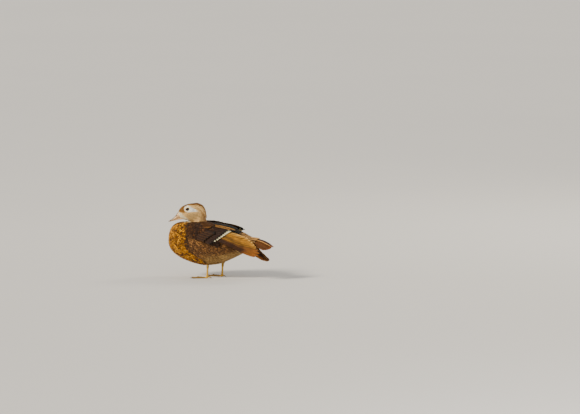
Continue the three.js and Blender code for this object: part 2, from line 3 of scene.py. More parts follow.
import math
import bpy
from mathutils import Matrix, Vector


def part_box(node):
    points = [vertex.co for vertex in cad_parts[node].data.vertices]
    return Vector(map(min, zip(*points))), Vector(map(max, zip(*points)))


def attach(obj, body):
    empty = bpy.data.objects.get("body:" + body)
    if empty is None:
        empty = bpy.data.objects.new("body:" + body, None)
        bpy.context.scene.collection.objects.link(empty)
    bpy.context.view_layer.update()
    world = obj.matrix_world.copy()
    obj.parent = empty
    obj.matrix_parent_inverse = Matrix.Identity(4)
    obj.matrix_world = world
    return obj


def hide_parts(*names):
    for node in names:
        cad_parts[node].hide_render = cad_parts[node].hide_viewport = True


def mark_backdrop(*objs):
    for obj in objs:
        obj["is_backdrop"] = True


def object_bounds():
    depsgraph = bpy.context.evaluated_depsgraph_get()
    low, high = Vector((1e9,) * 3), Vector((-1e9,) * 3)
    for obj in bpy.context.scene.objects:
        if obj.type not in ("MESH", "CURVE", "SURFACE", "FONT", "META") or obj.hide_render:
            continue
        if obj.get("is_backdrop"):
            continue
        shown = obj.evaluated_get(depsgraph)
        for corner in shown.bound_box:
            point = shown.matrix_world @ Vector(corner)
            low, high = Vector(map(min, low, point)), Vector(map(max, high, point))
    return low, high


bl_info = {
    "name": "Hen wood duck",
    "version": (1, 0, 0),
    "blender": (4, 5, 0),
    "location": "View3D > Sidebar > Duck",
    "description": "Builds a feathered hen wood duck around its solid model",
    "category": "Object",
}

from types import SimpleNamespace

import bpy
import numpy as np
from bpy.props import FloatProperty, FloatVectorProperty, IntProperty, PointerProperty
from mathutils import Vector
from mathutils.bvhtree import BVHTree

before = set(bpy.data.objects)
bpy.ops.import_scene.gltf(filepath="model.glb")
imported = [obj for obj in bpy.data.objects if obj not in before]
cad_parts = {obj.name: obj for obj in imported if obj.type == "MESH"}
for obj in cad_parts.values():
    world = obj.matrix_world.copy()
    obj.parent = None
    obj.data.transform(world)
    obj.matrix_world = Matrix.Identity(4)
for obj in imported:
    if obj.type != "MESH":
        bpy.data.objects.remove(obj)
CAD_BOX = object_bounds()

BODY = "root"
# Metres in a millimetre.
MM = 0.001

# The bird in its own millimetres: it faces -X, its left side is at -Y, its feet stand on z = 0.
# Trunk: x, back height, belly height, half width, height of the widest line.
TRUNK = [
    (-146.5, 103, 103, 0, 103),
    (-143.5, 129.5, 79, 25, 100),
    (-134, 144, 65, 38, 98),
    (-118, 150.5, 53.5, 46, 97),
    (-94, 154, 43, 51, 96),
    (-62, 153.5, 35, 54, 95),
    (-26, 149.5, 32, 55, 96),
    (8, 144, 41, 51, 98),
    (38, 137, 55, 43, 100),
    (64, 129, 68, 33, 102),
    (86, 119, 84, 24, 102),
    (104, 110, 95, 15, 102.5),
    (120, 106, 98, 7, 102),
]
# Head: forward and up on the upper line, forward and up on the lower line, half width.
HEAD = [
    (25, -20, 25, -20, 0),
    (27.5, -12, 18, -27, 8.6),
    (20.5, 2, 10, -31, 14),
    (8, 10.5, 0, -33, 18.6),
    (-8, 15, -9, -36, 21.2),
    (-26, 14.8, -15, -39, 22),
    (-40.5, 7.5, -17, -43, 22),
    (-47.5, -8, -15, -48, 23),
    (-51, -28, -9, -55, 26),
    (-60, -50, 2, -66, 33),
]
HEAD_PIVOT = np.array([-93.2, -9.4, 188.0])
HEAD_TURN = math.radians(22)
EYE_SIDE = 13.6
EYE_RADIUS = 6.3
# The eye ring's section: radius, height off the eyeball, height off the skin, and 1 where only the skin
# counts.
LID_PROFILE = [
    (5.0, 0.05, -9, 0),
    (5.2, 0.45, -9, 0),
    (5.65, 0.6, 0, 0),
    (6.1, 0.55, 0.4, 0),
    (6.7, 0.7, 0.3, 0),
    (7.7, 0, -0.3, 1),
    (7.4, 0, -2, 1),
    (5.4, 0, -3, 1),
]
# Bill: forward, culmen height, mouth line, lower edge, half width.
BILL = [
    (12, -6, -23.4, -29.4, 7.6),
    (20, -6.5, -24.6, -29.6, 7.9),
    (27.5, -11.2, -27, -30.6, 7.9),
    (33, -19, -29, -32, 7.6),
    (39.5, -25.6, -31, -33.6, 7.4),
    (45, -29.6, -32.8, -34.8, 7),
    (50, -33.6, -35, -36, 4.6),
]
BILL_NARROWS = 0.34
SIDES = {"left": -1, "right": 1}
LEG_X = {"left": -27, "right": -5}
STANCE = 27
ANKLE_Z = 35
# Toes: length, and degrees from the way that the foot points.
TOES = {"inner": (39, -27), "middle": (49, 0), "outer": (46, 24)}
TOE_OUT = 7
WEB_THICK = 0.9
# The wing's own surface: x, top, bottom, half width, widest height.
WING_FIELD = [
    (-120, 149, 48, 44, 98),
    (-80, 153.5, 37, 55, 97),
    (-40, 150.5, 30, 57, 97),
    (0, 148, 36, 54.5, 98),
    (40, 143, 44, 47, 99),
    (80, 129, 40, 43, 94),
    (120, 118, 28, 41, 84),
    (160, 104, 16, 38, 72),
]
# The arm of the folded wing: x, angle of its lower edge, of its upper edge, thickness.
WING_ARM = [
    (-104, 30, 46, 0.8),
    (-99, 24, 60, 2.6),
    (-88, 19, 70, 4.6),
    (-70, 15, 80, 6),
    (-45, 11, 83, 6.6),
    (-20, 4, 82, 6.2),
    (0, -3, 80, 5),
    (14, -6, 77, 3.4),
    (20, -7, 75, 1.2),
]
ARM_LIFT = 0.2
ARM_ROWS = 44
ARM_COLS = 21
# The right wing hangs lower than the left, in degrees by x, and its hand is closed further, as a share.
DROOP = {
    "left": [(-60, 0), (140, 0)],
    "right": [(-60, 0), (0, 4), (60, 12), (120, 22)],
}
CLOSED = {
    "left": [(0, 1), (140, 1)],
    "right": [(20, 1), (90, 0.5), (140, 0.5)],
}
# Tiers of flight feathers: each from its lowest feather upwards, as angles and heights by x.
WING_TIERS = {
    "primaries": {
        "root": 4,
        "tips": {
            "left": [121, 131, 134, 130, 124, 119, 113, 106, 98, 88],
            "right": [118, 128, 131, 123, 111, 104, 99, 95, 91, 86],
        },
        "half": 6.8,
        "root_share": 0.5,
        "line": [(-10, 17), (10, 14), (29, 9), (78, -9), (120, -13), (140, -15)],
        "step": [(-10, 3), (29, 3.3), (93, 6), (140, 6.6)],
        "lift": [(-10, 1.9), (140, 1.9)],
    },
    "secondaries": {
        "root": -27,
        "tips": {
            "left": [-2, 5, 12, 19, 25, 31, 36, 41, 45, 49, 59, 72, 62],
            "right": [-2, 5, 12, 19, 25, 31, 36, 41, 45, 48, 53, 59, 55],
        },
        "half": 7.4,
        "root_share": 0.8,
        "line": [(-45, 19), (-30, 16), (8, 2), (50, -12), (80, -20)],
        "step": [(-45, 4.9), (-30, 5), (14, 5.8), (50, 6.6), (80, 7)],
        "lift": [(-40, 2.4), (8, 5.6), (80, 5.6)],
    },
    "coverts": {
        "root": -44,
        "tips": {"left": [-20, -14, -7, 0, 8], "right": [-20, -14, -7, 0, 8]},
        "half": 7.2,
        "root_share": 0.8,
        "line": [(-60, 21), (-30, 15.5), (14, 0)],
        "step": [(-60, 6.2), (-30, 6.5), (14, 7.3)],
        "lift": [(-55, 3.2), (-25, 6.6), (-5, 8.3), (22, 9.2)],
    },
    "scapulars": {
        "root": -54,
        "tips": {"left": [-8, -2, -6, -14, -24], "right": [-8, -2, -6, -14, -24]},
        "half": 7.2,
        "root_share": 0.7,
        "line": [(-60, 52), (14, 52)],
        "step": [(-60, 5.6), (14, 5.6)],
        "lift": [(-70, 3), (-30, 7.2), (0, 9)],
    },
}
# The innermost secondaries are the tertials, and these are the shares of the streak of painted sheen on
# each.
TERTIALS = (0.9, 1.0, 0.0)
# The primaries between which the painted sunlight on the hand sets in; the right wing, in the bird's shadow,
# has it on fewer feathers.
SUNLIT_GOLD_FROM = {"left": (2.2, 4.6), "right": (5, 8)}
# How far one vane of a tier lies above the next.
SHINGLE = 0.98
# Points along and across a flight feather.
VANE_ROWS = 24
VANE_COLS = 23
# Tail: feathers on each side from the middle outwards.
TAIL = {
    "root": (84, 0, 113),
    "count": 7,
    "length": 70,
    "shorter": 14,
    "half": 8.4,
    "turn": 2.5,
    "roll": math.radians(7),
    "slope": 0.38,
    "bluntness": 12,
    "sag": 19,
}
# Coverts over the tail's root: side, length, lift.
TAIL_COVERTS = [(0, 33, 2.6), (-1, 30, 1.35), (1, 30, 1.35)]
# A small feather: half width and place of each row of its points.
ROW_SHAPE = np.array([0.4, 0.88, 1.0, 0.8, 0.22])
ROW_PLACE = np.array([0.0, 0.26, 0.55, 0.83, 1.0])
# What each thing that is scattered or varied adds to the seed property, and the seeds of the small vanes.
SEED_STEPS = {"body": 0, "head": 1, "crest": 2, "left": 44, "right": 45, "coverts": 50, "tail": 60}
VANE_SEEDS = {"body": 21, "head": 22, "crest": 23, "coverts": 51}
# Remeshing: millimetres to a voxel, and rounds of smoothing.
SKIN_MESH = (2.0, 6)
LEG_MESH = (0.5, 3)
# The view: how far the camera turns and rises, the width that it takes in and the middle of that.
VIEW_TURN = math.radians(22)
VIEW_RISE = math.radians(6)
VIEW_WIDTH = 1595
VIEW_CENTRE = (191.8, 194.2)
LENS = 300
SENSOR = 36
# Half the side of the square floor, in metres.
FLOOR_HALF = 30


# Shapes


def alike(*values):
    """The values as arrays of numbers of one shape."""
    return np.broadcast_arrays(*(np.asarray(value, float) for value in values))


def columns_at(table, place):
    """The columns of a table after its first, each read at places along the first."""
    first, *others = zip(*table)
    return [np.interp(place, first, column) for column in others]


def between(table, place):
    """A value read from a short table of (place, value), along an array of places."""
    return columns_at(table, place)[0]


def fade(value, start, end):
    """0 at start and before, 1 at end and after, with a smooth step between."""
    t = np.clip((value - start) / (end - start), 0, 1)
    return t * t * (3 - 2 * t)


def full_turn(count):
    """Angles evenly spaced round a circle."""
    return np.linspace(0, 2 * math.pi, count, endpoint=False)


def unit(vectors):
    return vectors / np.maximum(np.linalg.norm(vectors, axis=-1, keepdims=True), 1e-6)


def smooth_line(points, before):
    """One smooth line through all the points, as if it came from the point before."""
    p = np.array([before, *points, 2 * np.array(points[-1]) - np.array(points[-2])], float)
    n = len(points)

    def at(t):
        place = np.clip(np.asarray(t, float), 0, 1) * (n - 1)
        i = np.clip(place.astype(int), 0, n - 2)
        u = (place - i)[..., None]
        a, b, c, d = p[i], p[i + 1], p[i + 2], p[i + 3]
        bend, twist = 2 * a - 5 * b + 4 * c - d, 3 * b - a - 3 * c + d
        return 0.5 * (2 * b + (c - a) * u + bend * u**2 + twist * u**3)

    return at


class Form:
    """A closed form between an upper line, a lower line and a line of half widths."""

    BOXY = 0.92

    def __init__(self, uppers, lowers, centres, widths):
        sides = [(x, width, z) for (x, _, z), width in zip(centres, widths)]
        x, width, z = sides[1]
        self.upper = smooth_line(uppers, lowers[1])
        self.lower = smooth_line(lowers, uppers[1])
        self.side = smooth_line(sides, (x, -width, z))

    def at(self, t, angle, grow=0.0):
        """Points of the surface: angle 0 is the side, a quarter turn the top."""
        t, angle, grow = alike(t, angle, grow)
        edge = self.side(t)
        centre = edge * (1, 0, 1)
        top = (np.sin(angle) >= 0)[..., None]
        arm = np.where(top, self.upper(t), self.lower(t)) - centre
        size = np.linalg.norm(arm, axis=-1, keepdims=True)
        arm = arm * (size + grow[..., None]) / np.maximum(size, 1e-9)
        rise = np.abs(np.sin(angle))[..., None] ** self.BOXY
        across = np.sign(np.cos(angle)) * np.abs(np.cos(angle)) ** self.BOXY
        out = centre + arm * rise
        out[..., 1] += (edge[..., 1] + grow) * across
        return out


def rows_form(rows):
    """The form of a table of x, top, bottom, half width and widest height."""
    return Form(
        [(x, 0, top) for x, top, _, _, _ in rows],
        [(x, 0, low) for x, _, low, _, _ in rows],
        [(x, 0, mid) for x, _, _, _, mid in rows],
        [width for _, _, _, width, _ in rows],
    )


def head_way(forward, side, up):
    """A direction of the head's frame, as the bird stands."""
    c, s = math.cos(HEAD_TURN), math.sin(HEAD_TURN)
    return np.stack([-c * forward - s * side, -s * forward + c * side, up], -1)


def head_point(forward, up, side=0.0):
    """A point of the head's frame, whose origin is between the eyes."""
    return head_way(*alike(forward, side, up)) + HEAD_PIVOT


def head_local(points):
    """The same, backwards: forward, side and up of points of the bird."""
    c, s = math.cos(HEAD_TURN), math.sin(HEAD_TURN)
    x, y, z = np.moveaxis(np.asarray(points, float) - HEAD_PIVOT, -1, 0)
    return np.stack([-(c * x + s * y), -s * x + c * y, z], -1)


trunk = rows_form(TRUNK)
wing_field = rows_form(WING_FIELD)
head_form = Form(
    [(-f, 0, u) for f, u, _, _, _ in HEAD],
    [(-f, 0, u) for _, _, f, u, _ in HEAD],
    [(-(f + g) / 2, 0, (u + v) / 2) for f, u, g, v, _ in HEAD],
    [row[4] for row in HEAD],
)


def eye_shift():
    """From the bird's own frame to the row frame, in millimetres, by where its left eye is."""
    low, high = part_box("eye_left")
    seen = (np.array(low) + np.array(high)) / 2 / MM
    return seen - head_point(0, 0, -EYE_SIDE)


SHIFT = eye_shift()


def metres(points):
    """The bird's own millimetres as places in the row frame."""
    return (np.asarray(points, float) + SHIFT) * MM


def wing_point(x, angle, lift, name):
    """A point of a wing: x, angle about the body in degrees, height off the surface."""
    x, angle, lift = alike(x, angle, lift)
    first, last = WING_FIELD[0][0], WING_FIELD[-1][0]
    lowered = np.radians(angle - between(DROOP[name], x))
    out = wing_field.at((x - first) / (last - first), lowered, lift)
    out[..., 1] *= SIDES[name]
    return out


def tail_point(along, aside, lift):
    """A point of the tail's shallow roof, which sags towards its tip."""
    along, aside, lift = alike(along, aside, lift)
    tent = TAIL["slope"] * (np.hypot(aside, TAIL["bluntness"]) - TAIL["bluntness"])
    drop = 0.05 * along + TAIL["sag"] * (np.maximum(0, along) / (TAIL["length"] + 2)) ** 3.2
    z = lift - tent - drop
    c, s = math.cos(TAIL["roll"]), math.sin(TAIL["roll"])
    return np.stack([along, c * aside - s * z, s * aside + c * z], -1) + np.array(TAIL["root"])


# Meshes


def make_object(name, points, faces, material, slot, uv=None, tint=None, vane=None):
    """An object from points in millimetres; uv, tint and vane are one value per point."""
    mesh = bpy.data.meshes.new(name)
    mesh.from_pydata(metres(points).tolist(), [], [tuple(f) for f in faces])
    mesh.update()
    finish_mesh(mesh, uv, tint, vane)
    mesh.materials.append(material)
    obj = bpy.data.objects.new(name, mesh)
    bpy.context.scene.collection.objects.link(obj)
    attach(obj, BODY)
    return obj


def finish_mesh(mesh, uv, tint, vane=None):
    """Puts the maps and the plumage colour on a mesh, and smooths it."""
    corner = np.empty(len(mesh.loops), int)
    mesh.loops.foreach_get("vertex_index", corner)
    for name, values in (("OFBake", uv), ("Vane", vane)):
        if values is not None:
            layer = mesh.uv_layers.new(name=name)
            layer.data.foreach_set("uv", np.asarray(values, float)[corner].ravel())
    if tint is not None:
        colour = mesh.color_attributes.new("Tint", "FLOAT_COLOR", "POINT")
        rgba = np.concatenate([np.asarray(tint, float), np.ones((len(tint), 1))], 1)
        colour.data.foreach_set("color", rgba.ravel())
    mesh.polygons.foreach_set("use_smooth", np.ones(len(mesh.polygons), bool))


def grid_faces(rows, cols, rows_close=False, cols_close=False):
    """Faces of a grid of points, row by row, joined to its start again where it closes."""
    faces = []
    for i in range(rows if rows_close else rows - 1):
        for j in range(cols if cols_close else cols - 1):
            here, below = i * cols, (i + 1) % rows * cols
            right = (j + 1) % cols
            faces.append((here + j, here + right, below + right, below + j))
    return faces


def loft(rings):
    """Points and faces of a closed skin over rings of points, with a fan at both ends."""
    rings = np.asarray(rings, float)
    count, sides = rings.shape[:2]
    points = np.concatenate([rings.reshape(-1, 3), [rings[0].mean(0), rings[-1].mean(0)]])
    faces = []
    for j in range(sides):
        k = (j + 1) % sides
        for i in range(count - 1):
            a, b = i * sides, (i + 1) * sides
            faces.append((a + j, a + k, b + k, b + j))
        faces.append((len(points) - 2, k, j))
        faces.append((len(points) - 1, (count - 1) * sides + j, (count - 1) * sides + k))
    return points, faces


def sheet_solid(lower, upper):
    """Points and faces of a closed plate between two grids of points."""
    rows, cols = lower.shape[:2]
    points = np.concatenate([lower.reshape(-1, 3), upper.reshape(-1, 3)])
    base = rows * cols
    faces = []
    for a, b, c, d in grid_faces(rows, cols):
        faces.append((a, d, c, b))
        faces.append((base + a, base + b, base + c, base + d))
    rim = list(range(cols - 1)) + [i * cols + cols - 1 for i in range(rows - 1)]
    rim += [(rows - 1) * cols + j for j in range(cols - 1, 0, -1)]
    rim += [i * cols for i in range(rows - 1, 0, -1)]
    for a, b in zip(rim, rim[1:] + rim[:1]):
        faces.append((a, b, b + base, a + base))
    return points, faces


def limb(points, radii, sides=12, flat=1.0):
    """A closed round limb along points; flat is its height as a share of its width."""
    points = np.asarray(points, float)
    along = unit(np.gradient(points, axis=0))
    level = unit(np.cross(along, (0.02, 0.01, 1)))
    rise = np.cross(level, along)
    turn = full_turn(sides)[:, None]
    radii = np.asarray(radii, float)[:, None, None]
    aside = radii * np.cos(turn) * level[:, None]
    upward = radii * flat * np.sin(turn) * rise[:, None]
    return loft(points[:, None] + aside + upward)


def joined(parts):
    """Several (points, faces) as one."""
    points, faces, shift = [], [], 0
    for p, f in parts:
        points.append(p)
        faces += [tuple(v + shift for v in face) for face in f]
        shift += len(p)
    return np.concatenate(points), faces


def remeshed(name, parts, voxel, rounds, material, slot):
    """One closed skin over several overlapping closed parts."""
    points, faces = joined(parts)
    obj = make_object(name, points, faces, material, slot)
    bpy.context.view_layer.objects.active = obj
    step = obj.modifiers.new("Remesh", "REMESH")
    step.mode = "VOXEL"
    step.voxel_size = voxel * MM
    ease = obj.modifiers.new("Ease", "SMOOTH")
    ease.factor = 0.5
    ease.iterations = rounds
    graph = bpy.context.evaluated_depsgraph_get()
    mesh = bpy.data.meshes.new_from_object(obj.evaluated_get(graph))
    obj.modifiers.clear()
    old = obj.data
    obj.data = mesh
    bpy.data.meshes.remove(old)
    if not mesh.materials:
        mesh.materials.append(material)
    return obj


def points_of(obj):
    """An object's points, in the bird's own millimetres."""
    out = np.empty(len(obj.data.vertices) * 3)
    obj.data.vertices.foreach_get("co", out)
    return out.reshape(-1, 3) / MM - SHIFT


def surface_of(name):
    """Points, faces and a search tree of a made object, in the bird's own millimetres."""
    obj = bpy.data.objects[name]
    points = points_of(obj)
    faces = [tuple(p.vertices) for p in obj.data.polygons]
    return points, faces, BVHTree.FromPolygons(points.tolist(), faces)


# Colours of the plumage


def linear(colour):
    """A screen colour of 0 to 255 as the linear values that a shader takes."""
    c = np.clip(colour, 0, 255) / 255
    return np.where(c <= 0.04045, c / 12.92, ((c + 0.055) / 1.055) ** 2.4)


def mix(a, b, share):
    """Colour a where share is 0 and colour b where it is 1."""
    share = np.asarray(share, float)[..., None]
    return np.asarray(a, float) * (1 - share) + np.asarray(b, float) * share


def layered(base, *layers):
    """A colour under layers, each a colour or a factor on what lies below it, with its share."""
    for top, share in layers:
        base = mix(base, base * top if np.ndim(top) == 0 else top, share)
    return base


def palette():
    """The colour properties as screen values of 0 to 255."""
    group = bpy.context.scene.duck_colours
    values = {name: np.array(getattr(group, name)[:]) * 255 for name in group.__annotations__}
    return SimpleNamespace(**values)


def sizes():
    """The size properties, in metres, and the seed."""
    return bpy.context.scene.duck_sizes


def ripple(points, size, seed):
    """A soft seeded pattern between 0 and 1 over space, with marks about size millimetres apart."""
    rng = np.random.default_rng(seed)
    total = np.zeros(points.shape[:-1])
    for _ in range(7):
        way = rng.normal(size=3)
        way *= rng.uniform(0.6, 1.5) * 2 * math.pi / (size * np.linalg.norm(way))
        total += np.sin(points @ way + rng.uniform(0, 6.3))
    return np.clip(0.5 + total / 6, 0, 1)


def head_colour(local, along, chance):
    """Screen colours of the head: grey-buff, with a brown crown and a white eye patch and throat."""
    c = palette()
    f, side, up = np.moveaxis(local, -1, 0)
    wide = np.abs(side)
    ear = -np.hypot((f + 12) / 17, (up + 17) / 8)
    line = 14.2 - 0.1 * np.maximum(0, -f - 8)
    brow = fade(up + 0.5 * np.maximum(0, f), line - 5.5, line - 1.5) * fade(wide, 14, 9)
    ridge = fade(wide, 7, 3) * fade(up, 3, 8) * fade(f, -30, -18)
    # The eye patch is round in front of the eye and runs to a point behind it.
    tail = np.clip((2 - f) / 27, 0, 1)
    off_middle = np.abs(up - (0.4 - 5.5 * tail**1.5))
    front = np.sqrt(np.maximum(0, 1 - (f / 11.5) ** 2)) * 8.4
    half = np.where(f > 0, front, 8.4 * (1 - tail) ** 0.8 + 0.3)
    level = -24 + 0.8 * (f - 4)
    fringe = 0.12 * (1 - along) + 0.1 * (chance - 0.5)
    out = layered(
        mix(c.cheek, c.nape, fade(f, -26, -50)),
        (c.cheek * 0.86, 0.8 * fade(ear, -1.2, -0.5)),
        (0.84, 0.6 * ripple(local * (0.35, 1, 1.2), 5.5, 3) * fade(f, 14, 0)),
        (c.crown, brow * fade(f, -40, -26)),
        (c.forehead, fade(f, 4, 12) * fade(up, -13, -6)),
        (c.crown * 0.6, 0.75 * ridge),
        (c.throat, 0.9 * fade(f, 13, 18) * fade(up, -8, -13)),
        (c.brow_stripe, 0.8 * fade(off_middle, 5, 1) * fade(f, -34, -22) * (f < -8)),
        (c.eye_patch, fade(off_middle, half + 1.2, half - 1) * (f < 11.5) * fade(f, -27, -17)),
        (c.throat, fade(up, level + 2.5, level - 1.5) * fade(f, -9, 1) * fade(up, -6, -12)),
    )
    return out * (1 - fringe)[..., None]


def body_colour(root, along, across, chance):
    """Screen colours of the trunk and neck: streaked ochre breast, dark back, brown flank, pale belly."""
    c = palette()
    x, y, z = np.moveaxis(root, -1, 0)
    fine = ripple(root, 9, 6)
    edge = np.abs(across)
    # Breast feathers are dark with a warm drop along the shaft.
    drop = fade(edge, 0.95, 0.35) * fade(along, 0.2, 0.45)
    dim = fade(ripple(root * (1.6, 1.6, 0.5), 15, 8), 0.42, 0.3)
    lit = np.clip(drop * (0.62 + 0.7 * chance) - 0.6 * dim, 0, 1)
    breast = mix(c.breast_dark, mix(c.breast, c.breast_light, chance), lit)
    # Flank feathers are brown, some with a buff streak along the shaft.
    streak = fade(edge, 0.6, 0.1) * fade(chance, 0.6, 0.85) * fade(along, 0.2, 0.6)
    streak = streak * (0.25 + 0.5 * fade(x, -20, -70))
    flank = mix(c.flank, c.flank * 0.6, 0.8 * edge * (1 - 0.4 * chance))
    mottles = np.clip(1.4 * fine * chance + 0.35 * edge * ripple(root, 26, 5), 0, 1)
    back = layered(
        mix(c.mantle, c.back, fade(x, -75, -15)),
        (c.mantle_light, 0.5 * fade(chance, 0.7, 0.95) * fade(edge, 0.3, 0.9)),
    )
    rump = mix(c.back, c.rump, fade(x, 50, 62) * (0.6 + 0.4 * chance))
    # The breast ends at a line of painted shadow that leans back under the belly.
    shadow_line = -86 + 1.35 * np.maximum(0, 82 - z) + 4 * (fine - 0.5)
    low = z - 0.22 * np.maximum(0, x + 10) + 6 * (fine - 0.5)
    out = layered(
        flank,
        (c.flank_light, 0.85 * streak),
        (mix(c.belly, c.belly_dark, mottles), fade(low, 70, 57) * fade(x, -58, -22)),
        (mix(c.vent, c.belly, 0.5 * chance), fade(x, 42, 66) * fade(z, 112, 100)),
        (mix(back, rump, fade(x, 44, 56)), fade(z + 0.35 * (58 - np.abs(y)), 118, 128)),
        # Painted shadow: a dark band along that line, deeper higher up.
        (c.shadow_line, (0.35 + 0.65 * fade(z, 64, 84)) * fade(x, shadow_line + 8, shadow_line + 1)),
        (breast, fade(x + 9 * (chance - 0.5), shadow_line + 1, shadow_line - 5)),
    )
    return out * (0.9 + 0.16 * chance)[..., None]


def head_share(points):
    """How far a place belongs to the head and neck rather than the trunk."""
    f, _, up = np.moveaxis(head_local(points), -1, 0)
    foot = -42 + 0.24 * np.maximum(0, f + 12)
    return fade(up, foot - 3, foot + 3) * fade(f + 0.3 * (up + 35), -60, -53)


def plumage(root, along, across, chance):
    """Screen colours of a small feather by where it grows and along and across its vane."""
    head = head_colour(head_local(root), along, chance)
    body = body_colour(root, along, across, chance)
    share = head_share(root)
    ragged = 1.6 * (chance - 0.5) * share * (1 - share)
    return mix(body, head, np.clip(share + ragged, 0, 1))


# Materials


class Nodes:
    """A node tree, with short calls for adding nodes and joining them."""

    def __init__(self, tree):
        self.tree = tree

    def feed(self, node, inputs):
        """Sets each named input of a node to a value, or joins it to an output."""
        for name, value in inputs.items():
            if isinstance(value, bpy.types.NodeSocket):
                self.tree.links.new(value, node.inputs[name])
            else:
                node.inputs[name].default_value = value

    def add(self, kind, inputs=None, **settings):
        """The outputs of a new node."""
        node = self.tree.nodes.new(kind)
        for name, value in settings.items():
            setattr(node, name, value)
        self.feed(node, inputs or {})
        return node.outputs

    def maths(self, operation, *values):
        return self.add("ShaderNodeMath", dict(enumerate(values)), operation=operation)[0]

    def times(self, first, second):
        return self.maths("MULTIPLY", first, second)

    def plus(self, first, second):
        return self.maths("ADD", first, second)

    def minus(self, first, second):
        return self.maths("SUBTRACT", first, second)

    def group(self, name, **inputs):
        """The outputs of a node group, which is built when it is first asked for."""
        tree = bpy.data.node_groups.get(name) or GROUPS[name]()
        return self.add("ShaderNodeGroup", inputs, node_tree=tree)

    def painted(self, scale, depth):
        """The colour painted on a mesh's points, made uneven, and the mask of that."""
        tint = self.add("ShaderNodeVertexColor", layer_name="Tint")["Color"]
        out = self.group("Mottle", Colour=tint, Scale=scale, Depth=depth)
        return out["Colour"], out["Mask"]

    def darkened(self, colour, share, tone):
        """A colour multiplied by a tone as far as a mask says."""
        inputs = {"Factor": share, "A": colour, "B": (*tone, 1)}
        return self.add("ShaderNodeMix", inputs, data_type="RGBA", blend_type="MULTIPLY")["Result"]

    def bump(self, height, strength, distance):
        inputs = {"Height": height, "Strength": strength, "Distance": distance}
        return self.add("ShaderNodeBump", inputs)["Normal"]


def new_group(name, takes, gives):
    """A node group's tree, the outputs that bring what it takes, and the node of what it gives."""
    tree = bpy.data.node_groups.new(name, "ShaderNodeTree")
    for key, (kind, value) in takes.items():
        item = tree.interface.new_socket(name=key, in_out="INPUT", socket_type="NodeSocket" + kind)
        if value is not None:
            item.default_value = value
    for key, kind in gives.items():
        tree.interface.new_socket(name=key, in_out="OUTPUT", socket_type="NodeSocket" + kind)
    nodes = Nodes(tree)
    return nodes, nodes.add("NodeGroupInput"), tree.nodes.new("NodeGroupOutput")


def barb_group():
    """Barbs that leave the shaft of a vane: their height, and a mask of the fine lines."""
    takes = {"Vane": ("Vector", None), "Count": ("Float", 40.0), "Slant": ("Float", 0.6)}
    nodes, given, out = new_group("Barbs", takes, {"Height": "Float", "Lines": "Float"})
    at = nodes.add("ShaderNodeSeparateXYZ", {"Vector": given["Vane"]})
    wobble = nodes.add("ShaderNodeTexNoise", {"Vector": given["Vane"], "Scale": 7.0})["Fac"]
    aside = nodes.maths("ABSOLUTE", nodes.minus(at["X"], 0.5))
    slanted = nodes.minus(at["Y"], nodes.times(aside, given["Slant"]))
    place = nodes.plus(slanted, nodes.times(wobble, 0.05))
    wave = nodes.maths("SINE", nodes.times(nodes.times(place, given["Count"]), 6.283))
    lines = nodes.plus(nodes.times(wave, 0.5), 0.5)
    shaft = nodes.maths("LESS_THAN", aside, 0.035)
    height = nodes.maths("MAXIMUM", lines, nodes.times(shaft, 1.8))
    nodes.feed(out, {"Height": height, "Lines": lines})
    return nodes.tree


def mottle_group():
    """Soft variation over a surface: a colour made lighter and darker, and its mask."""
    takes = {"Colour": ("Color", None), "Scale": ("Float", 60.0), "Depth": ("Float", 0.3)}
    nodes, given, out = new_group("Mottle", takes, {"Colour": "Color", "Mask": "Float"})
    where = nodes.add("ShaderNodeTexCoord")["Object"]
    noise = nodes.add("ShaderNodeTexNoise", {"Vector": where, "Scale": given["Scale"], "Detail": 4.0})["Fac"]
    spread = nodes.times(nodes.minus(noise, 0.5), given["Depth"])
    value = nodes.plus(nodes.times(spread, 2.0), 1.0)
    inputs = {"Color": given["Colour"], "Value": value, "Saturation": 1.03}
    colour = nodes.add("ShaderNodeHueSaturation", inputs)["Color"]
    nodes.feed(out, {"Colour": colour, "Mask": noise})
    return nodes.tree


def scute_group():
    """Small plates of bare skin: their height and the lines between them."""
    takes = {"Scale": ("Float", 600.0)}
    nodes, given, out = new_group("Scutes", takes, {"Height": "Float", "Lines": "Float"})
    where = nodes.add("ShaderNodeTexCoord")["Object"]
    inputs = {"Vector": where, "Scale": given["Scale"]}
    edge = nodes.add("ShaderNodeTexVoronoi", inputs, feature="DISTANCE_TO_EDGE")["Distance"]
    height = nodes.maths("MINIMUM", nodes.times(edge, 4.0), 1.0)
    nodes.feed(out, {"Height": height, "Lines": nodes.minus(1.0, height)})
    return nodes.tree


GROUPS = {"Barbs": barb_group, "Mottle": mottle_group, "Scutes": scute_group}


def new_material(name):
    """A material, its nodes and its shader."""
    material = bpy.data.materials.new(name)
    material.use_nodes = True
    return material, Nodes(material.node_tree), material.node_tree.nodes["Principled BSDF"]


def feather_material(name, count, slant, roughness, sheen, strength):
    """Feather vanes: the plumage colour, barbs from the shaft, and a soft sheen."""
    material, nodes, shader = new_material(name)
    vane = nodes.add("ShaderNodeUVMap", uv_map="Vane")["UV"]
    barbs = nodes.group("Barbs", Vane=vane, Count=count, Slant=slant)
    colour, mask = nodes.painted(140.0, 0.22)
    # Painted shade darkens the grooves between the barbs.
    groove_shade = nodes.times(nodes.minus(1.0, barbs["Lines"]), 0.45)
    nodes.feed(shader, {
        "Base Color": nodes.darkened(colour, groove_shade, (0.62, 0.58, 0.55)),
        "Roughness": nodes.plus(nodes.times(mask, 0.18), roughness - 0.09),
        "Normal": nodes.bump(barbs["Height"], strength, 0.0002),
        "Sheen Weight": sheen,
        "Sheen Roughness": 0.4,
        "Sheen Tint": (1, 0.85, 0.65, 1),
        "Specular IOR Level": 0.16,
    })
    return material


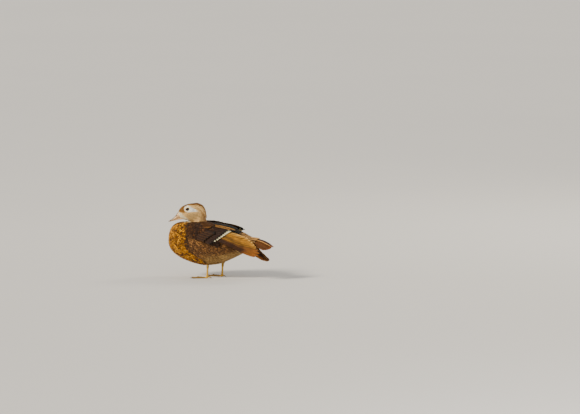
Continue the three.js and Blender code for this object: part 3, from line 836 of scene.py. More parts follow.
def skin_material():
    """The skin under the feathers, in the plumage's own colours darkened as painted shade."""
    material, nodes, shader = new_material("Under_plumage")
    colour, mask = nodes.painted(220.0, 0.35)
    normal = nodes.bump(mask, 0.5, 0.001)
    inputs = {"Base Color": colour, "Normal": normal, "Roughness": 0.85, "Specular IOR Level": 0.15}
    nodes.feed(shader, inputs)
    return material


def horn_material(name, roughness, scale, coat):
    """Smooth horn or bare skin in the colours painted on its points."""
    material, nodes, shader = new_material(name)
    colour, mask = nodes.painted(scale, 0.2)
    nodes.feed(shader, {
        "Base Color": colour,
        "Roughness": nodes.plus(nodes.times(mask, 0.25), roughness - 0.12),
        "Normal": nodes.bump(mask, 0.25, 0.0004),
        "Coat Weight": coat,
        "Coat Roughness": 0.25,
    })
    return material


def leg_material():
    """Scaled skin of the legs and feet, with painted shade in the creases between the plates."""
    material, nodes, shader = new_material("Scaled_leg_skin")
    scutes = nodes.group("Scutes", Scale=620.0)
    colour, mask = nodes.painted(180.0, 0.3)
    nodes.feed(shader, {
        "Base Color": nodes.darkened(colour, nodes.times(scutes["Lines"], 0.7), (0.45, 0.38, 0.3)),
        "Roughness": nodes.plus(nodes.times(mask, 0.25), 0.35),
        "Normal": nodes.bump(scutes["Height"], 0.6, 0.0004),
    })
    return material


def eye_material():
    """The wet eyeball, coloured on its points."""
    material, nodes, shader = new_material("Eye")
    tint = nodes.add("ShaderNodeVertexColor", layer_name="Tint")["Color"]
    nodes.feed(shader, {"Base Color": tint, "Roughness": 0.06, "Specular IOR Level": 0.35})
    return material


# Each finish is the function that makes it, and what that function takes.
FINISHES = {
    "body": (feather_material, "Body_feathers", 14.0, 0.7, 0.6, 0.08, 0.5),
    "head": (feather_material, "Head_feathers", 8.0, 0.8, 0.66, 0.1, 0.35),
    "flight": (feather_material, "Flight_feathers", 60.0, 0.5, 0.58, 0.02, 0.9),
    "skin": (skin_material,),
    "bill": (horn_material, "Bill_horn", 0.42, 160.0, 0.2),
    "lid": (horn_material, "Eye_ring_skin", 0.5, 700.0, 0.0),
    "leg": (leg_material,),
    "eye": (eye_material,),
}
MATERIALS = {}


def material_for(kind):
    """Each finish is made once, when a piece first asks for it."""
    if kind not in MATERIALS:
        make, *values = FINISHES[kind]
        MATERIALS[kind] = make(*values)
    return MATERIALS[kind]


# Feathers laid on a surface


def spread_roots(points, faces, spacing_of, seed, keep):
    """Evenly scattered points of a surface, no two nearer than spacing_of says there."""
    rng = np.random.default_rng(seed)
    corners = []
    for face in faces:
        corners += [(face[0], face[i], face[i + 1]) for i in range(1, len(face) - 1)]
    a, b, c = (points[column] for column in np.array(corners).T)
    area = np.linalg.norm(np.cross(b - a, c - a), axis=1) / 2
    least = spacing_of(points).min()
    count = int(area.sum() / (least * least) * 3)
    # Random places on the triangles, as dense on each as on the next.
    pick = rng.choice(len(corners), count, p=area / area.sum())
    off_a = np.sqrt(rng.random((count, 1)))
    to_c = rng.random((count, 1))
    spots = (1 - off_a) * a[pick] + off_a * (1 - to_c) * b[pick] + off_a * to_c * c[pick]
    spots = spots[keep(spots)]
    space = spacing_of(spots)
    # Each spot is only measured against those kept in its own cell and the cells around it.
    cells, kept = {}, []
    around = [(i, j, k) for i in (-1, 0, 1) for j in (-1, 0, 1) for k in (-1, 0, 1)]
    keys = np.floor(spots / space.max()).astype(int)
    for spot, key, gap in zip(spots, keys.tolist(), space):
        near = [q for i, j, k in around for q in cells.get((key[0] + i, key[1] + j, key[2] + k), ())]
        if near and (((np.array(near) - spot) ** 2).sum(1) < gap * gap).any():
            continue
        cells.setdefault(tuple(key), []).append(spot)
        kept.append(spot)
    return np.array(kept)


def along_skin(tree, roots, flow, length, rows):
    """Middle lines that start at roots and follow flow over the skin: points and normals."""
    here = roots.copy()
    places, normals = [], []
    for _ in range(rows):
        found = [tree.find_nearest(Vector(p)) for p in here]
        at = np.array([f[0] for f in found])
        up = np.array([f[1] for f in found])
        places.append(at)
        normals.append(up)
        way = flow(at)
        way -= up * (way * up).sum(1, keepdims=True)
        here = at + unit(way) * (length / (rows - 1))[:, None]
    return np.stack(places, 1), np.stack(normals, 1)


def small_feathers(
    name, kind, slot, tree, roots, length, width, lift, flow, colour, unwrap, thick=0.35, turn=7.0
):
    """Many small vanes in one mesh, each rooted in the skin and lying along the flow."""
    rng = np.random.default_rng(VANE_SEEDS[kind])
    count, rows = len(roots), len(ROW_PLACE)
    chance = rng.random(count)
    length = length * rng.uniform(0.88, 1.12, count)
    turned = np.radians(rng.normal(0, turn, count))

    def aimed(at):
        way = flow(at)
        return way + np.tan(turned)[:, None] * np.cross(way, (0.3, 0.2, 1.0))

    middle, up = along_skin(tree, roots, aimed, length, rows)
    side = unit(np.cross(up, unit(np.gradient(middle, axis=1))))
    standing = (lift * rng.uniform(0.8, 1.2, count))[:, None] * (0.25 + 0.75 * ROW_PLACE[None]) ** 0.8
    rise = -0.7 + standing + 0.7 * ROW_PLACE[None] ** 0.3
    # Across, a vane has its left edge, its crown, its right edge and its hollow underside.
    half = width[:, None] * ROW_SHAPE[None]
    crown = (0.16 * half)[..., None]
    line = middle + up * rise[..., None]
    left = line - side * half[..., None] - up * crown
    right = line + side * half[..., None] - up * crown
    top = line + up * (thick * 0.5)
    low = line - up * (thick * 0.5 + crown * 0.9)
    points = np.stack([left, top, right, low], 2).reshape(-1, 3)
    size = (count, rows, 4)
    across = np.broadcast_to(np.array([-1.0, 0, 1, 0]), size)
    along = np.broadcast_to(ROW_PLACE[None, :, None], size)
    luck = np.broadcast_to(chance[:, None, None], size)
    base = np.broadcast_to(roots[:, None, None, :], (*size, 3))
    tint = linear(colour(base, along, across, luck)).reshape(-1, 3)
    quads = grid_faces(rows, 4, cols_close=True) + [(3, 2, 1, 0), tuple(range(rows * 4 - 4, rows * 4))]
    faces = (np.array(quads)[None] + (np.arange(count) * rows * 4)[:, None, None]).reshape(-1, 4)
    # On the bake map each feather is a patch 0.003 across at its root's place.
    patch = np.stack([across * 0.0015, (along - 0.5) * 0.003], -1)
    uv = (unwrap(roots)[:, None, None, :] + patch).reshape(-1, 2)
    vane = np.stack([across * 0.5 + 0.5, along], -1).reshape(-1, 2)
    finish = material_for("head" if slot == "head_plumage" else "body")
    make_object(name, points, faces.tolist(), finish, slot, uv, tint, vane)


def unwrapped(up, side, along):
    """Places on an unwrap of a form: round it, and along it from 0 to 1."""
    turn = np.arctan2(up, side) / (2 * math.pi) + 0.5
    return np.stack([0.01 + 0.98 * turn, 0.01 + 0.98 * np.clip(along, 0, 1)], 1)


def body_unwrap(roots):
    """Places on the trunk's unwrap, from breast to tail."""
    x, y, z = roots.T
    return unwrapped(z - 98, y, (x + 155) / 300)


def head_unwrap(roots):
    """Places on the head's unwrap, from bill to nape."""
    f, side, up = head_local(roots).T
    return unwrapped(up + 14, side, (30 - f) / 95)


def body_flow(at):
    """The lie of the plumage on the trunk: down the breast, then back along the flanks."""
    x, y, z = at.T
    front = (fade(x, -78, -132) * fade(z, 48, 76))[:, None]
    back = np.stack(alike(1, 0, -0.1 - 0.12 * fade(x, 20, 80)), 1)
    down = np.stack(alike(0.45 - 1.8 * fade(z, 112, 135), 0.25 * np.sign(y) * fade(np.abs(y), 4, 30), -1), 1)
    return back * (1 - front) + down * front


def head_flow(at):
    """The lie of the plumage on the head: back from the bill, then down the nape and throat."""
    f, _, up = head_local(at).T
    fall = np.maximum(fade(f, -22, -50), fade(up, -30, -48) * fade(f, -50, -20))[:, None]
    back = np.stack(alike(-1, 0, -0.12 - 0.2 * fade(up, -6, -24)), 1)
    local = back * (1 - fall) + np.array([-0.35, 0, -1]) * fall
    return head_way(*local.T)


# Skin and small feathers


def thigh(name, side):
    """A thigh from inside the body down to its ankle."""
    x, y = LEG_X[name], side * STANCE
    hip = [(x + 6, side * 26, 66), (x + 4.8, y, 52), (x + 3, y, 43), (x + 1, y, ANKLE_Z + 1)]
    line = smooth_line(hip, hip[0])(np.linspace(0, 1, 14))
    radii = np.interp(np.linspace(0, 3, 14), range(4), (16, 11, 5.6, 3.6))
    return limb(line, radii, 24)


def make_skin():
    """One closed skin under the feathers of the body, neck, head, thighs and wings."""
    depth = sizes().coat_depth / MM
    turn = full_turn(64)[None]
    t = (0.5 - 0.5 * np.cos(np.linspace(0.06, math.pi - 0.05, 90)))[:, None]
    x, y, z = np.moveaxis(head_form.at(t, turn, -0.65 * depth), -1, 0)
    parts = [loft(trunk.at(t, turn, -depth)), loft(head_point(-x, z, y))]
    for name, side in SIDES.items():
        _, outer = wing_arm(name, under=1.2)
        deep, _ = wing_arm(name, under=7)
        parts += [thigh(name, side), sheet_solid(deep, outer)]
    obj = remeshed("Skin", parts, *SKIN_MESH, material_for("skin"), "body_plumage")
    points = points_of(obj)
    every = np.ones(len(points))
    # The plumage colour at 0.8 is painted shade on the skin under the feathers.
    tint = linear(plumage(points, 0.6 * every, 0.4 * every, 0.5 * every)) * 0.8
    # The head's unwrap takes the right part of the bake map, the trunk's the rest.
    head, body = head_unwrap(points) * (0.36, 1) + (0.62, 0), body_unwrap(points) * (0.58, 1)
    finish_mesh(obj.data, np.where(head_share(points)[:, None] > 0.5, head, body), tint)
    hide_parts("torso", "neck", "head", "thigh_left", "thigh_right")


def wing_arm(name, under=0.0):
    """The inner and outer faces of the folded arm, as grids; under is how far in they are moved."""
    first, last = WING_ARM[0][0], WING_ARM[-1][0]
    x = first + (last - first) * (0.5 - 0.5 * np.cos(np.linspace(0, math.pi, ARM_ROWS)))[:, None]
    q = np.linspace(-1, 1, ARM_COLS)[None]
    low, high, thick = columns_at(WING_ARM, x)
    angle = low + (high - low) * (q + 1) / 2
    swell = (thick + 2.4) * (1 - np.abs(q) ** 2.5) - 2.1
    risen = fade(x, -106, -80)
    top = ARM_LIFT + swell * risen - 3 * (1 - risen) - under
    deep = np.minimum(ARM_LIFT - under, top) - 0.6
    return wing_point(x, angle, deep, name), wing_point(x, angle, top, name)


def under_wing(points):
    """True for places that a folded arm covers, behind its front edge."""
    out = np.zeros(len(points), bool)
    for name in SIDES:
        _, outer = wing_arm(name)
        tree = BVHTree.FromPolygons(outer.reshape(-1, 3).tolist(), grid_faces(ARM_ROWS, ARM_COLS))
        out |= np.array([tree.find_nearest(Vector(p))[3] < 1.9 for p in points])
    return out & (points[:, 0] > -94)


def make_body_feathers():
    """Small feathers of the breast, back, flanks, belly and thighs."""
    points, faces, tree = surface_of("Skin")
    size = sizes().body_feather / MM

    def local_size(p):
        x, _, z = p.T
        breast = fade(x, -60, -95)
        return size * (1 - 0.3 * breast - 0.35 * fade(z, 62, 48) * fade(x, -60, -30) * fade(x, 30, 0))

    def spacing(p):
        # Feathers part at the top of the breast, so they stand closer there.
        x, _, z = p.T
        parting = fade(x, -84, -96) * fade(z, 106, 116)
        return local_size(p) * (0.3 - 0.075 * parting)

    def keep(p):
        return (head_share(p) < 0.55) & (p[:, 2] > 37) & ~under_wing(p)

    roots = spread_roots(points, faces, spacing, sizes().seed + SEED_STEPS["body"], keep)
    x, y, z = roots.T
    legs = fade(z, 50, 40) * (np.abs(np.abs(y) - STANCE) < 13) * (np.abs(x + 13) < 26)
    own = local_size(roots) * (1 - 0.45 * legs)
    small_feathers(
        "Body_feathers", "body", "body_plumage", tree, roots,
        own, own * 0.36, 0.11 * own + 0.4, body_flow, plumage, body_unwrap,
    )


def make_head_feathers():
    """The short plumage of the head and neck, shortest round the bill, and the crest."""
    points, faces, tree = surface_of("Skin")
    size = sizes().head_feather / MM

    def local_size(p):
        f, _, up = head_local(p).T
        fine = np.maximum(fade(f, -6, 12), 0.55 * fade(np.hypot(f, up), 20, 10))
        return size * (1 - 0.5 * fine + 0.35 * fade(f - 0.5 * up, -30, -50) + 0.4 * fade(up, -30, -45))

    def keep(p):
        f, side, up = head_local(p).T
        off_eye = (np.hypot(f, up) > 6.9) | (np.abs(side) < 8)
        culmen, _, edge, half = columns_at(BILL, np.clip(f, 12, 50))
        share = np.clip((up - edge) / (culmen - edge), 0, 1)
        half = half * (1 - (2 * share - 1) ** 2) ** 0.35 * (1 - BILL_NARROWS * share**2)
        bill = (f > 12) & (up < culmen) & (up > edge) & (np.abs(side) < half - 0.2)
        return (head_share(p) >= 0.45) & off_eye & ~bill

    def crown(p):
        f, side, up = head_local(p).T
        return (f < -16) & (f > -46) & (up > -6 - 0.45 * np.maximum(0, -f - 34)) & (np.abs(side) < 17)

    seed = sizes().seed
    roots = spread_roots(points, faces, lambda p: local_size(p) * 0.215, seed + SEED_STEPS["head"], keep)
    own = local_size(roots)
    small_feathers(
        "Head_feathers", "head", "head_plumage", tree, roots,
        own, own * 0.155, 0.08 * own + 0.3, head_flow, plumage, head_unwrap, thick=0.22,
    )
    locks = spread_roots(points, faces, lambda p: np.full(len(p), 1.9), seed + SEED_STEPS["crest"], crown)
    own = 9 + 9 * fade(head_local(locks)[:, 0], -14, -34)
    small_feathers(
        "Crest", "crest", "head_plumage", tree, locks,
        own, own * 0 + 1.25, 1.3 + 0.14 * own, head_flow, plumage, head_unwrap, thick=0.3, turn=5,
    )


# Wings and tail


class Gather:
    """Closed plates put together as one mesh, each point with its maps and colour."""

    def __init__(self):
        self.parts, self.maps = [], []

    def plate(self, lower, upper, patch, colour, along, across):
        """A plate between two grids, with its bake patch, its screen colour and its place on the vane."""
        vane = np.stack([across * 0.5 + 0.5, along], -1)
        maps = (patch, linear(colour), vane)
        self.parts.append(sheet_solid(lower, upper))
        self.maps.append([np.concatenate([m.reshape(-1, m.shape[-1])] * 2) for m in maps])

    def make(self, name, slot):
        maps = [np.concatenate(column) for column in zip(*self.maps)]
        return make_object(name, *joined(self.parts), material_for("flight"), slot, *maps)


def outline(root_share, share):
    """Half width of a flight feather along its length, as a share of the widest."""
    end = np.maximum(0, (share - 0.72) / 0.28)
    grown = root_share + (1 - root_share) * fade(share, -0.1, 0.45)
    return grown * (0.18 + 0.82 * np.sqrt(np.maximum(0, 1 - end**2.2)))


def vane_grid():
    """Shares along and across a flight feather, closer together at its round end."""
    share = np.append(np.linspace(0, 0.86, VANE_ROWS - 4), (0.91, 0.95, 0.98, 1))[:, None]
    return np.broadcast_arrays(share, np.linspace(-1, 1, VANE_COLS)[None])


def vane_thickness(across):
    """A thin web with the round shaft down its middle."""
    return 0.28 + 0.16 * (1 - across**2) + 0.5 * np.exp(-((across / 0.09) ** 2))


def vane_patch(row, rows, n, count, share, across):
    """A feather's own place on the bake map."""
    return np.stack([(n + 0.5 + 0.42 * across) / count, (row + 0.08 + 0.84 * share) / rows], -1)


def tier_vane(name, kind, n):
    """One feather of a wing's tier, as two grids."""
    tier = WING_TIERS[kind]
    share, across = vane_grid()
    x = tier["root"] + (tier["tips"][name][n] - tier["root"]) * share
    step = between(tier["step"], x) * (between(CLOSED[name], x) if kind == "primaries" else 1)
    angle = between(tier["line"], x) + n * step
    per_degree = np.linalg.norm(wing_point(x, angle, 0, name) - wing_point(x, angle + 1, 0, name), axis=-1)
    half = tier["half"] * outline(tier["root_share"], share)
    lift = between(tier["lift"], x) + across * half * SHINGLE / (step * per_degree)
    lift = lift + 0.25 * np.sin(share * 9 + n) * across**2
    place = angle - across * half / per_degree
    return wing_point(x, place, lift, name), wing_point(x, place, lift + vane_thickness(across), name)


def primary_colour(c, name, n, share, across):
    """Brown outer primaries with painted sunlight on their ends, and inner ones whose pale webs take painted
    golden sunlight, with dark edges.
    """
    # Painted sunlight: gold over the pale webs of the inner primaries.
    sunlit_gold = fade(n, *SUNLIT_GOLD_FROM[name])
    lit = mix(c.primary_sunlit_gold, c.primary_pale, fade(across, 0.3, -0.1) * fade(share, 0.25, 0.5))
    # Painted sunlight warms the ends of the outer primaries.
    sunlit_tip = fade(share, 0.55, 0.85) * (1 - sunlit_gold)
    out = layered(
        mix(c.wing_dark, c.primary_brown, 0.35),
        (lit, sunlit_gold),
        (0.34, fade(across, 0.45, 0.85) * sunlit_gold * (0.55 + 0.35 * np.sin(share * 5 + n))),
        (c.wing_tip, 0.9 * sunlit_tip * fade(across, -0.6, 0.3)),
    )
    if name == "left":
        return out
    # Painted highlights: pale spots along the edges of the right wing's tip.
    edge = fade(np.abs(across), 0.45, 0.95) * fade(share, 0.55, 0.75)
    return mix(out, c.highlight_spot, 0.8 * edge * fade(np.sin(share * 26 + 2 * n), -0.4, 0.5))


def secondary_colour(c, n, share, across):
    """Dark secondaries with a black bar and a white tip."""
    return layered(
        c.wing_dark,
        (c.speculum, 0.5 * fade(share, 0.35, 0.7)),
        (0.35, fade(share, 0.76, 0.84)),
        (c.wing_white, fade(share + 0.035 * across, 0.885, 0.91) * (n > 1)),
    )


def tertial_colour(c, place, share, across):
    """Black tertials, the outer ones with a streak of painted sheen that has a painted highlight along its
    middle.
    """
    warm = TERTIALS[place]
    return layered(
        c.tertial_black,
        (c.tertial_sheen, warm * fade(across, 0.85, 0.6)),
        (c.tertial_highlight, 0.9 * warm * fade(np.abs(across + 0.05), 0.5, 0.2) * fade(share, 0.3, 0.5)),
        (0.1, fade(share, 0.78, 0.88)),
    )


def covert_colour(c, share, across):
    """Dark greater coverts with warm edges and black tips."""
    return layered(
        c.wing_dark,
        (c.mantle_light, 0.55 * fade(np.abs(across), 0.6, 1)),
        (0.4, fade(share, 0.86, 0.96)),
    )


def scapular_colour(c, n, share, across):
    """Brown scapulars, the lowest one with an edge of painted sheen."""
    return layered(
        c.mantle,
        (c.mantle_light, 0.6 * fade(np.abs(across), 0.5, 1)),
        (c.tertial_sheen, 0.35 * (n == 0) * fade(share, 0.5, 0.8) * fade(across, 0.0, 0.5)),
    )


def flight_colour(name, kind, n, share, across, chance):
    """Screen colours of one wing feather; across is +1 at its lower, outer edge."""
    c = palette()
    tertial = n - len(WING_TIERS[kind]["tips"][name]) + len(TERTIALS)
    if kind == "primaries":
        out = primary_colour(c, name, n, share, across)
    elif kind == "coverts":
        out = covert_colour(c, share, across)
    elif kind == "scapulars":
        out = scapular_colour(c, n, share, across)
    elif tertial < 0:
        out = secondary_colour(c, n, share, across)
    else:
        out = tertial_colour(c, tertial, share, across)
    # A dark shaft, a paler rim and an uneven tone are the same on every kind.
    edge = np.abs(across)
    out = layered(out, (0.45, 0.8 * fade(edge, 0.13, 0.04)))
    out = mix(out, 1.25 * out + 12, 0.6 * fade(edge, 0.84, 1))
    return out * (0.9 + 0.1 * np.sin(share * 31 + chance * 9 + across * 3))[..., None]


def make_wing(name):
    """A folded wing: the arm and its small coverts, and the tiers of long feathers."""
    rng = np.random.default_rng(sizes().seed + SEED_STEPS[name])
    wing = Gather()
    rows = len(WING_TIERS) + 1
    inner, outer = wing_arm(name)
    along, across = np.meshgrid(np.linspace(0, 1, ARM_ROWS), np.linspace(-1, 1, ARM_COLS), indexing="ij")
    middling = np.full(along.shape, 0.5)
    body = body_colour(outer, middling, middling, middling)
    colour = mix(palette().wing_dark, body, fade(outer[..., 0], -62, -76))
    wing.plate(inner, outer, vane_patch(rows - 1, rows, 0, 1, along, across), colour, along, across)
    share, across = vane_grid()
    for row, (kind, tier) in enumerate(WING_TIERS.items()):
        count = len(tier["tips"][name])
        for n in range(count):
            colour = flight_colour(name, kind, n, share, across, rng.random())
            patch = vane_patch(row, rows, n, count, share, across)
            wing.plate(*tier_vane(name, kind, n), patch, colour, share, across)
    obj = wing.make("Wing_" + name, "wing_feathers")
    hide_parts("wing_" + name)
    make_coverts(name)


def make_coverts(name):
    """Small coverts in rows over the arm of a wing."""
    inner, outer = wing_arm(name)
    points, faces = sheet_solid(inner, outer)
    # The left wing is a mirror image, so its faces are turned to look outwards again.
    if name == "left":
        faces = [f[::-1] for f in faces]
    tree = BVHTree.FromPolygons(points.tolist(), faces)

    def own_size(p):
        return 8.5 + 5.5 * fade(p[:, 0], -80, -10)

    def flow(p):
        front = fade(p[:, 0], -78, -98)[:, None]
        return np.array([1, 0, -0.22]) * (1 - front) + body_flow(p) * front

    def colour(root, along, across, chance):
        c = palette()
        edge = np.abs(across)
        out = layered(
            c.wing_dark,
            (c.mantle_light, 0.55 * fade(edge, 0.3, 1) * chance),
            (c.covert_light, 0.5 * fade(chance, 0.75, 0.95) * fade(edge, 0.5, 0.1)),
            (body_colour(root, along, across, chance), fade(root[..., 0] + 14 * (chance - 0.5), -62, -76)),
        )
        return out * (0.85 + 0.3 * chance)[..., None]

    roots = spread_roots(
        outer.reshape(-1, 3), grid_faces(ARM_ROWS, ARM_COLS), lambda p: own_size(p) * 0.3,
        sizes().seed + SEED_STEPS["coverts"], lambda p: p[:, 0] < 6,
    )
    # They lie only on the wing's own side, clear of the back's middle line.
    roots = roots[roots[:, 1] * SIDES[name] > 4]
    own = own_size(roots)
    small_feathers(
        "Wing_coverts_" + name, "coverts", "wing_feathers", tree, roots,
        own, own * 0.36, 0.1 * own + 0.4, flow, colour, body_unwrap,
    )


def tail_rows():
    """Each tail feather's side, place from the middle, length, lift and start, then the coverts."""
    for n in range(TAIL["count"]):
        length = TAIL["length"] - TAIL["shorter"] * (n / (TAIL["count"] - 1)) ** 2
        depth = 2.2 * n if n < 2 else 3.5 + (n - 2) * SHINGLE
        yield -1, n, length, -depth, 4
        yield 1, n, length, -depth - (1.1 if n < 2 else 0), 4
    for side, length, lift in TAIL_COVERTS:
        yield side or 1, 2.2 if side else -0.4, length, lift, -3


def make_tail():
    """Seven tail feathers to a side, and three coverts over their roots, in a shallow roof."""
    tail = Gather()
    c = palette()
    rng = np.random.default_rng(sizes().seed + SEED_STEPS["tail"])
    share, across = vane_grid()
    edge = np.abs(across)
    rows = list(tail_rows())
    for place, (side, n, length, lift, start) in enumerate(rows):
        along = start + (length - start) * share
        aside = side * (0.6 + 1.4 * n + along * math.tan(math.radians(1.3 + TAIL["turn"] * n)))
        at = aside + side * across * TAIL["half"] * outline(0.6, share)
        lower, upper = tail_point(along, at, lift), tail_point(along, at, lift + vane_thickness(across))
        if place < 2 * TAIL["count"]:
            pale = 0.95 if n < 1 else 0.3
            colour = layered(
                c.tail_dark,
                (c.tail_pale, pale * fade(across, 0.45, 0.9) * fade(along, 8, 26)),
                (c.tail_tip, 0.7 * fade(share, 0.9, 1)),
                (0.5, 0.7 * fade(edge, 0.14, 0.02)),
            ) * (0.85 + 0.3 * rng.random())
        else:
            colour = mix(c.rump, 0.5 * c.rump, fade(edge, 0.4, 1))
        tail.plate(lower, upper, vane_patch(0, 1, place, len(rows), share, across), colour, share, across)
    obj = tail.make("Tail", "tail_feathers")
    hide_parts("tail")


# Eyes, bill and legs


def head_tint(part, colour_of):
    """The linear colour of each point of a part, from a function of its places on the head."""
    return linear(colour_of(head_local(part[0])))


def eyeball(side):
    """An eyeball with a cornea that stands out a little."""
    away = np.linspace(0.01, math.pi - 0.01, 40)[:, None]
    turn = full_turn(48)[None]
    flat = EYE_RADIUS * np.sin(away)
    cornea = EYE_RADIUS * (np.cos(away) + 0.03 * np.exp(-((away / 0.5) ** 2)))
    return loft(head_point(flat * np.cos(turn), flat * np.sin(turn), side * (EYE_SIDE + cornea)))


def iris_colour(local):
    """A black pupil in a brown iris with fine rays and a darker rim."""
    c = palette()
    f, _, up = local.T
    out = np.hypot(f, up) / EYE_RADIUS
    rays = 0.85 + 0.3 * np.sin(np.arctan2(up, f) * 23) ** 2
    colour = mix(c.pupil, c.iris, fade(out, 0.42, 0.5))
    return mix(colour * rays[:, None], colour * 0.4, fade(out, 0.8, 0.95))


def skin_side(skin, forward, up, side):
    """How far out the skin of the head lies at places beside an eye."""
    starts = head_point(forward, up, side * 40).reshape(-1, 3)
    inward = Vector(head_point(0, 0, 0) - head_point(0, 0, side))
    hits = [skin.ray_cast(Vector(p), inward)[3] for p in starts]
    return np.array([40 - hit for hit in hits]).reshape(forward.shape)


def eye_ring(skin, side, turns):
    """The ring of bare skin round an eye, drawn out in front and more behind."""
    around = full_turn(turns)[:, None]
    radius, off_ball, off_skin, skin_only = np.array(LID_PROFILE).T
    behind = np.maximum(0, -np.cos(around)) ** 5
    before = np.maximum(0, np.cos(around)) ** 7
    ring = radius + 0.9 * behind + 0.5 * before + 0.04 * np.sin(around * 29)
    f = ring * np.cos(around)
    up = ring * np.sin(around) * 0.93
    on_ball = EYE_SIDE + np.sqrt(np.maximum(0, EYE_RADIUS**2 - f**2 - up**2)) + off_ball
    on_skin = skin_side(skin, f, up, side) + off_skin
    out = np.where(skin_only > 0, on_skin, np.maximum(on_ball, on_skin))
    # The last line of points closes the ring behind, inside the head.
    out[:, -1] = EYE_SIDE + 0.5
    points = head_point(f, up, side * out).reshape(-1, 3)
    return points, grid_faces(turns, len(radius), rows_close=True, cols_close=True)


def make_eyes():
    """Both wet eyes, each in its ring of bare yellow skin."""
    c = palette()
    skin = surface_of("Skin")[2]
    turns = 72
    bare = fade(np.tile([row[0] for row in LID_PROFILE], turns), 6.5, 6.2)
    ring_tint = linear(mix(c.eye_patch, c.eye_ring, bare))
    for name, side in SIDES.items():
        ball = eyeball(side)
        wet = head_tint(ball, iris_colour)
        eye = make_object("Eye_" + name, *ball, material_for("eye"), "eye", tint=wet)
        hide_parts("eye_" + name)
        ring = eye_ring(skin, side, turns)
        make_object("Eye_ring_" + name, *ring, material_for("lid"), "eye", tint=ring_tint)


def nostril(forward, up, side):
    """A mask of the nostril, a slit that leans with the top of the bill."""
    along, rise = forward - 30, up + 19.4 + 0.7 * (forward - 30)
    return np.exp(-1.6 * ((along / 2.5) ** 4 + (rise / 1.25) ** 4)) * fade(np.abs(side), 1.5, 3.2)


def bill_half(line, high, low, half, narrow):
    """A half of the bill above or below the mouth line, as a loft; narrow is how far its top draws in."""
    angle = full_turn(60)[None]
    share = (1 + np.sin(angle)) / 2
    across = np.sign(np.cos(angle)) * np.abs(np.cos(angle)) ** 0.7 * (1 - narrow * share**2)
    f, high, low, half = (column[:, None] for column in (line, high, low, half))
    end = np.sqrt(np.clip((50.6 - f) / 4, 0, 1)) * 0.35 + 0.65
    up = low + (high - low) * share
    side = half * end * across
    pit = 1.9 * nostril(f, up, side) * (narrow > 0)
    return loft(head_point(f, up, side - np.sign(side) * pit))


def bill_nail():
    """The hooked nail over the tip of the upper half."""
    turn = full_turn(28)[None]
    t = np.linspace(0.02, 0.98, 18)[:, None]
    size = np.sin(math.pi * t)
    reach = 48.4 - 4.8 * np.cos(math.pi * t)
    hook = 1.4 * np.maximum(0, (reach - 48.5) / 4.7) ** 2
    rise = between(BILL, reach) - 0.7 - hook + 1.25 * size * np.sin(turn)
    return loft(head_point(reach, rise, 3.0 * size**0.8 * np.cos(turn)))


def bill_colour(local):
    """Horn with a dusky top, a pale line over the mouth, a dark nail and painted shade in the nostrils."""
    c = palette()
    f, side, up = local.T
    culmen, mouth, _, _ = columns_at(BILL, f)
    return layered(
        c.bill,
        (c.bill_ridge, fade(up - culmen, -2.9, -0.9)),
        (c.bill_edge, 0.8 * fade(up - mouth, 2.6, 1.2) * fade(up - mouth, -0.4, 0)),
        (c.bill_tip, fade(f, 43.5, 47)),
        # Painted shade in the nostril pits.
        (0.2, np.clip(1.3 * nostril(f, up, side), 0, 1) * (up > mouth)),
    )


def make_bill():
    """The bill: upper and lower halves along the mouth line, and the hooked nail."""
    rows = np.array(BILL, float)
    line = smooth_line(BILL, 2 * rows[0] - rows[1])(np.linspace(0, 1, 110))
    f, culmen, mouth, edge, half = line.T
    halves = {
        "upper": joined([bill_half(f, culmen, mouth + 0.15, half, BILL_NARROWS), bill_nail()]),
        "lower": bill_half(f, mouth - 0.15, edge, half * 0.9, 0),
    }
    for name, part in halves.items():
        tint = head_tint(part, bill_colour)
        obj = make_object("Bill_" + name, *part, material_for("bill"), "bill", tint=tint)
        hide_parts("bill_" + name)


def toe_parts(length, way):
    """A toe that swells at its joints, and its hooked claw."""
    share = np.linspace(0, 0.87, 50)
    joints = 1 + 0.13 * np.cos(share * 2 * math.pi / 0.29) - 0.2 * share
    toe = limb(share[:, None] * length * way + (0, 0, 1.6), 2.1 * joints, 16, 0.85)
    place = np.linspace(0.83, 1, 14)
    hook = np.interp(place, (0.83, 0.9, 1), (1.5, 2.0, 0.7))
    line = place[:, None] * length * way + hook[:, None] * (0, 0, 1)
    return toe, limb(line, np.interp(place, (0.83, 1), (1.35, 0.3)))


def web_between(one, other):
    """The scalloped, lightly folded web between two toes."""
    share = np.linspace(0.04, 0.82, 26)[:, None]
    across = np.linspace(0, 1, 17)[None]
    scallop = share * (1 - 0.22 * share * np.sin(math.pi * across))
    flat = scallop[..., None] * (one * (1 - across[..., None]) + other * across[..., None])
    fold = 0.16 * np.sin(across * 25 + share * 4) * np.sin(math.pi * across)
    low = flat + (0, 0, 1) * (0.5 + fold)[..., None]
    return sheet_solid(low, low + (0, 0, WEB_THICK))


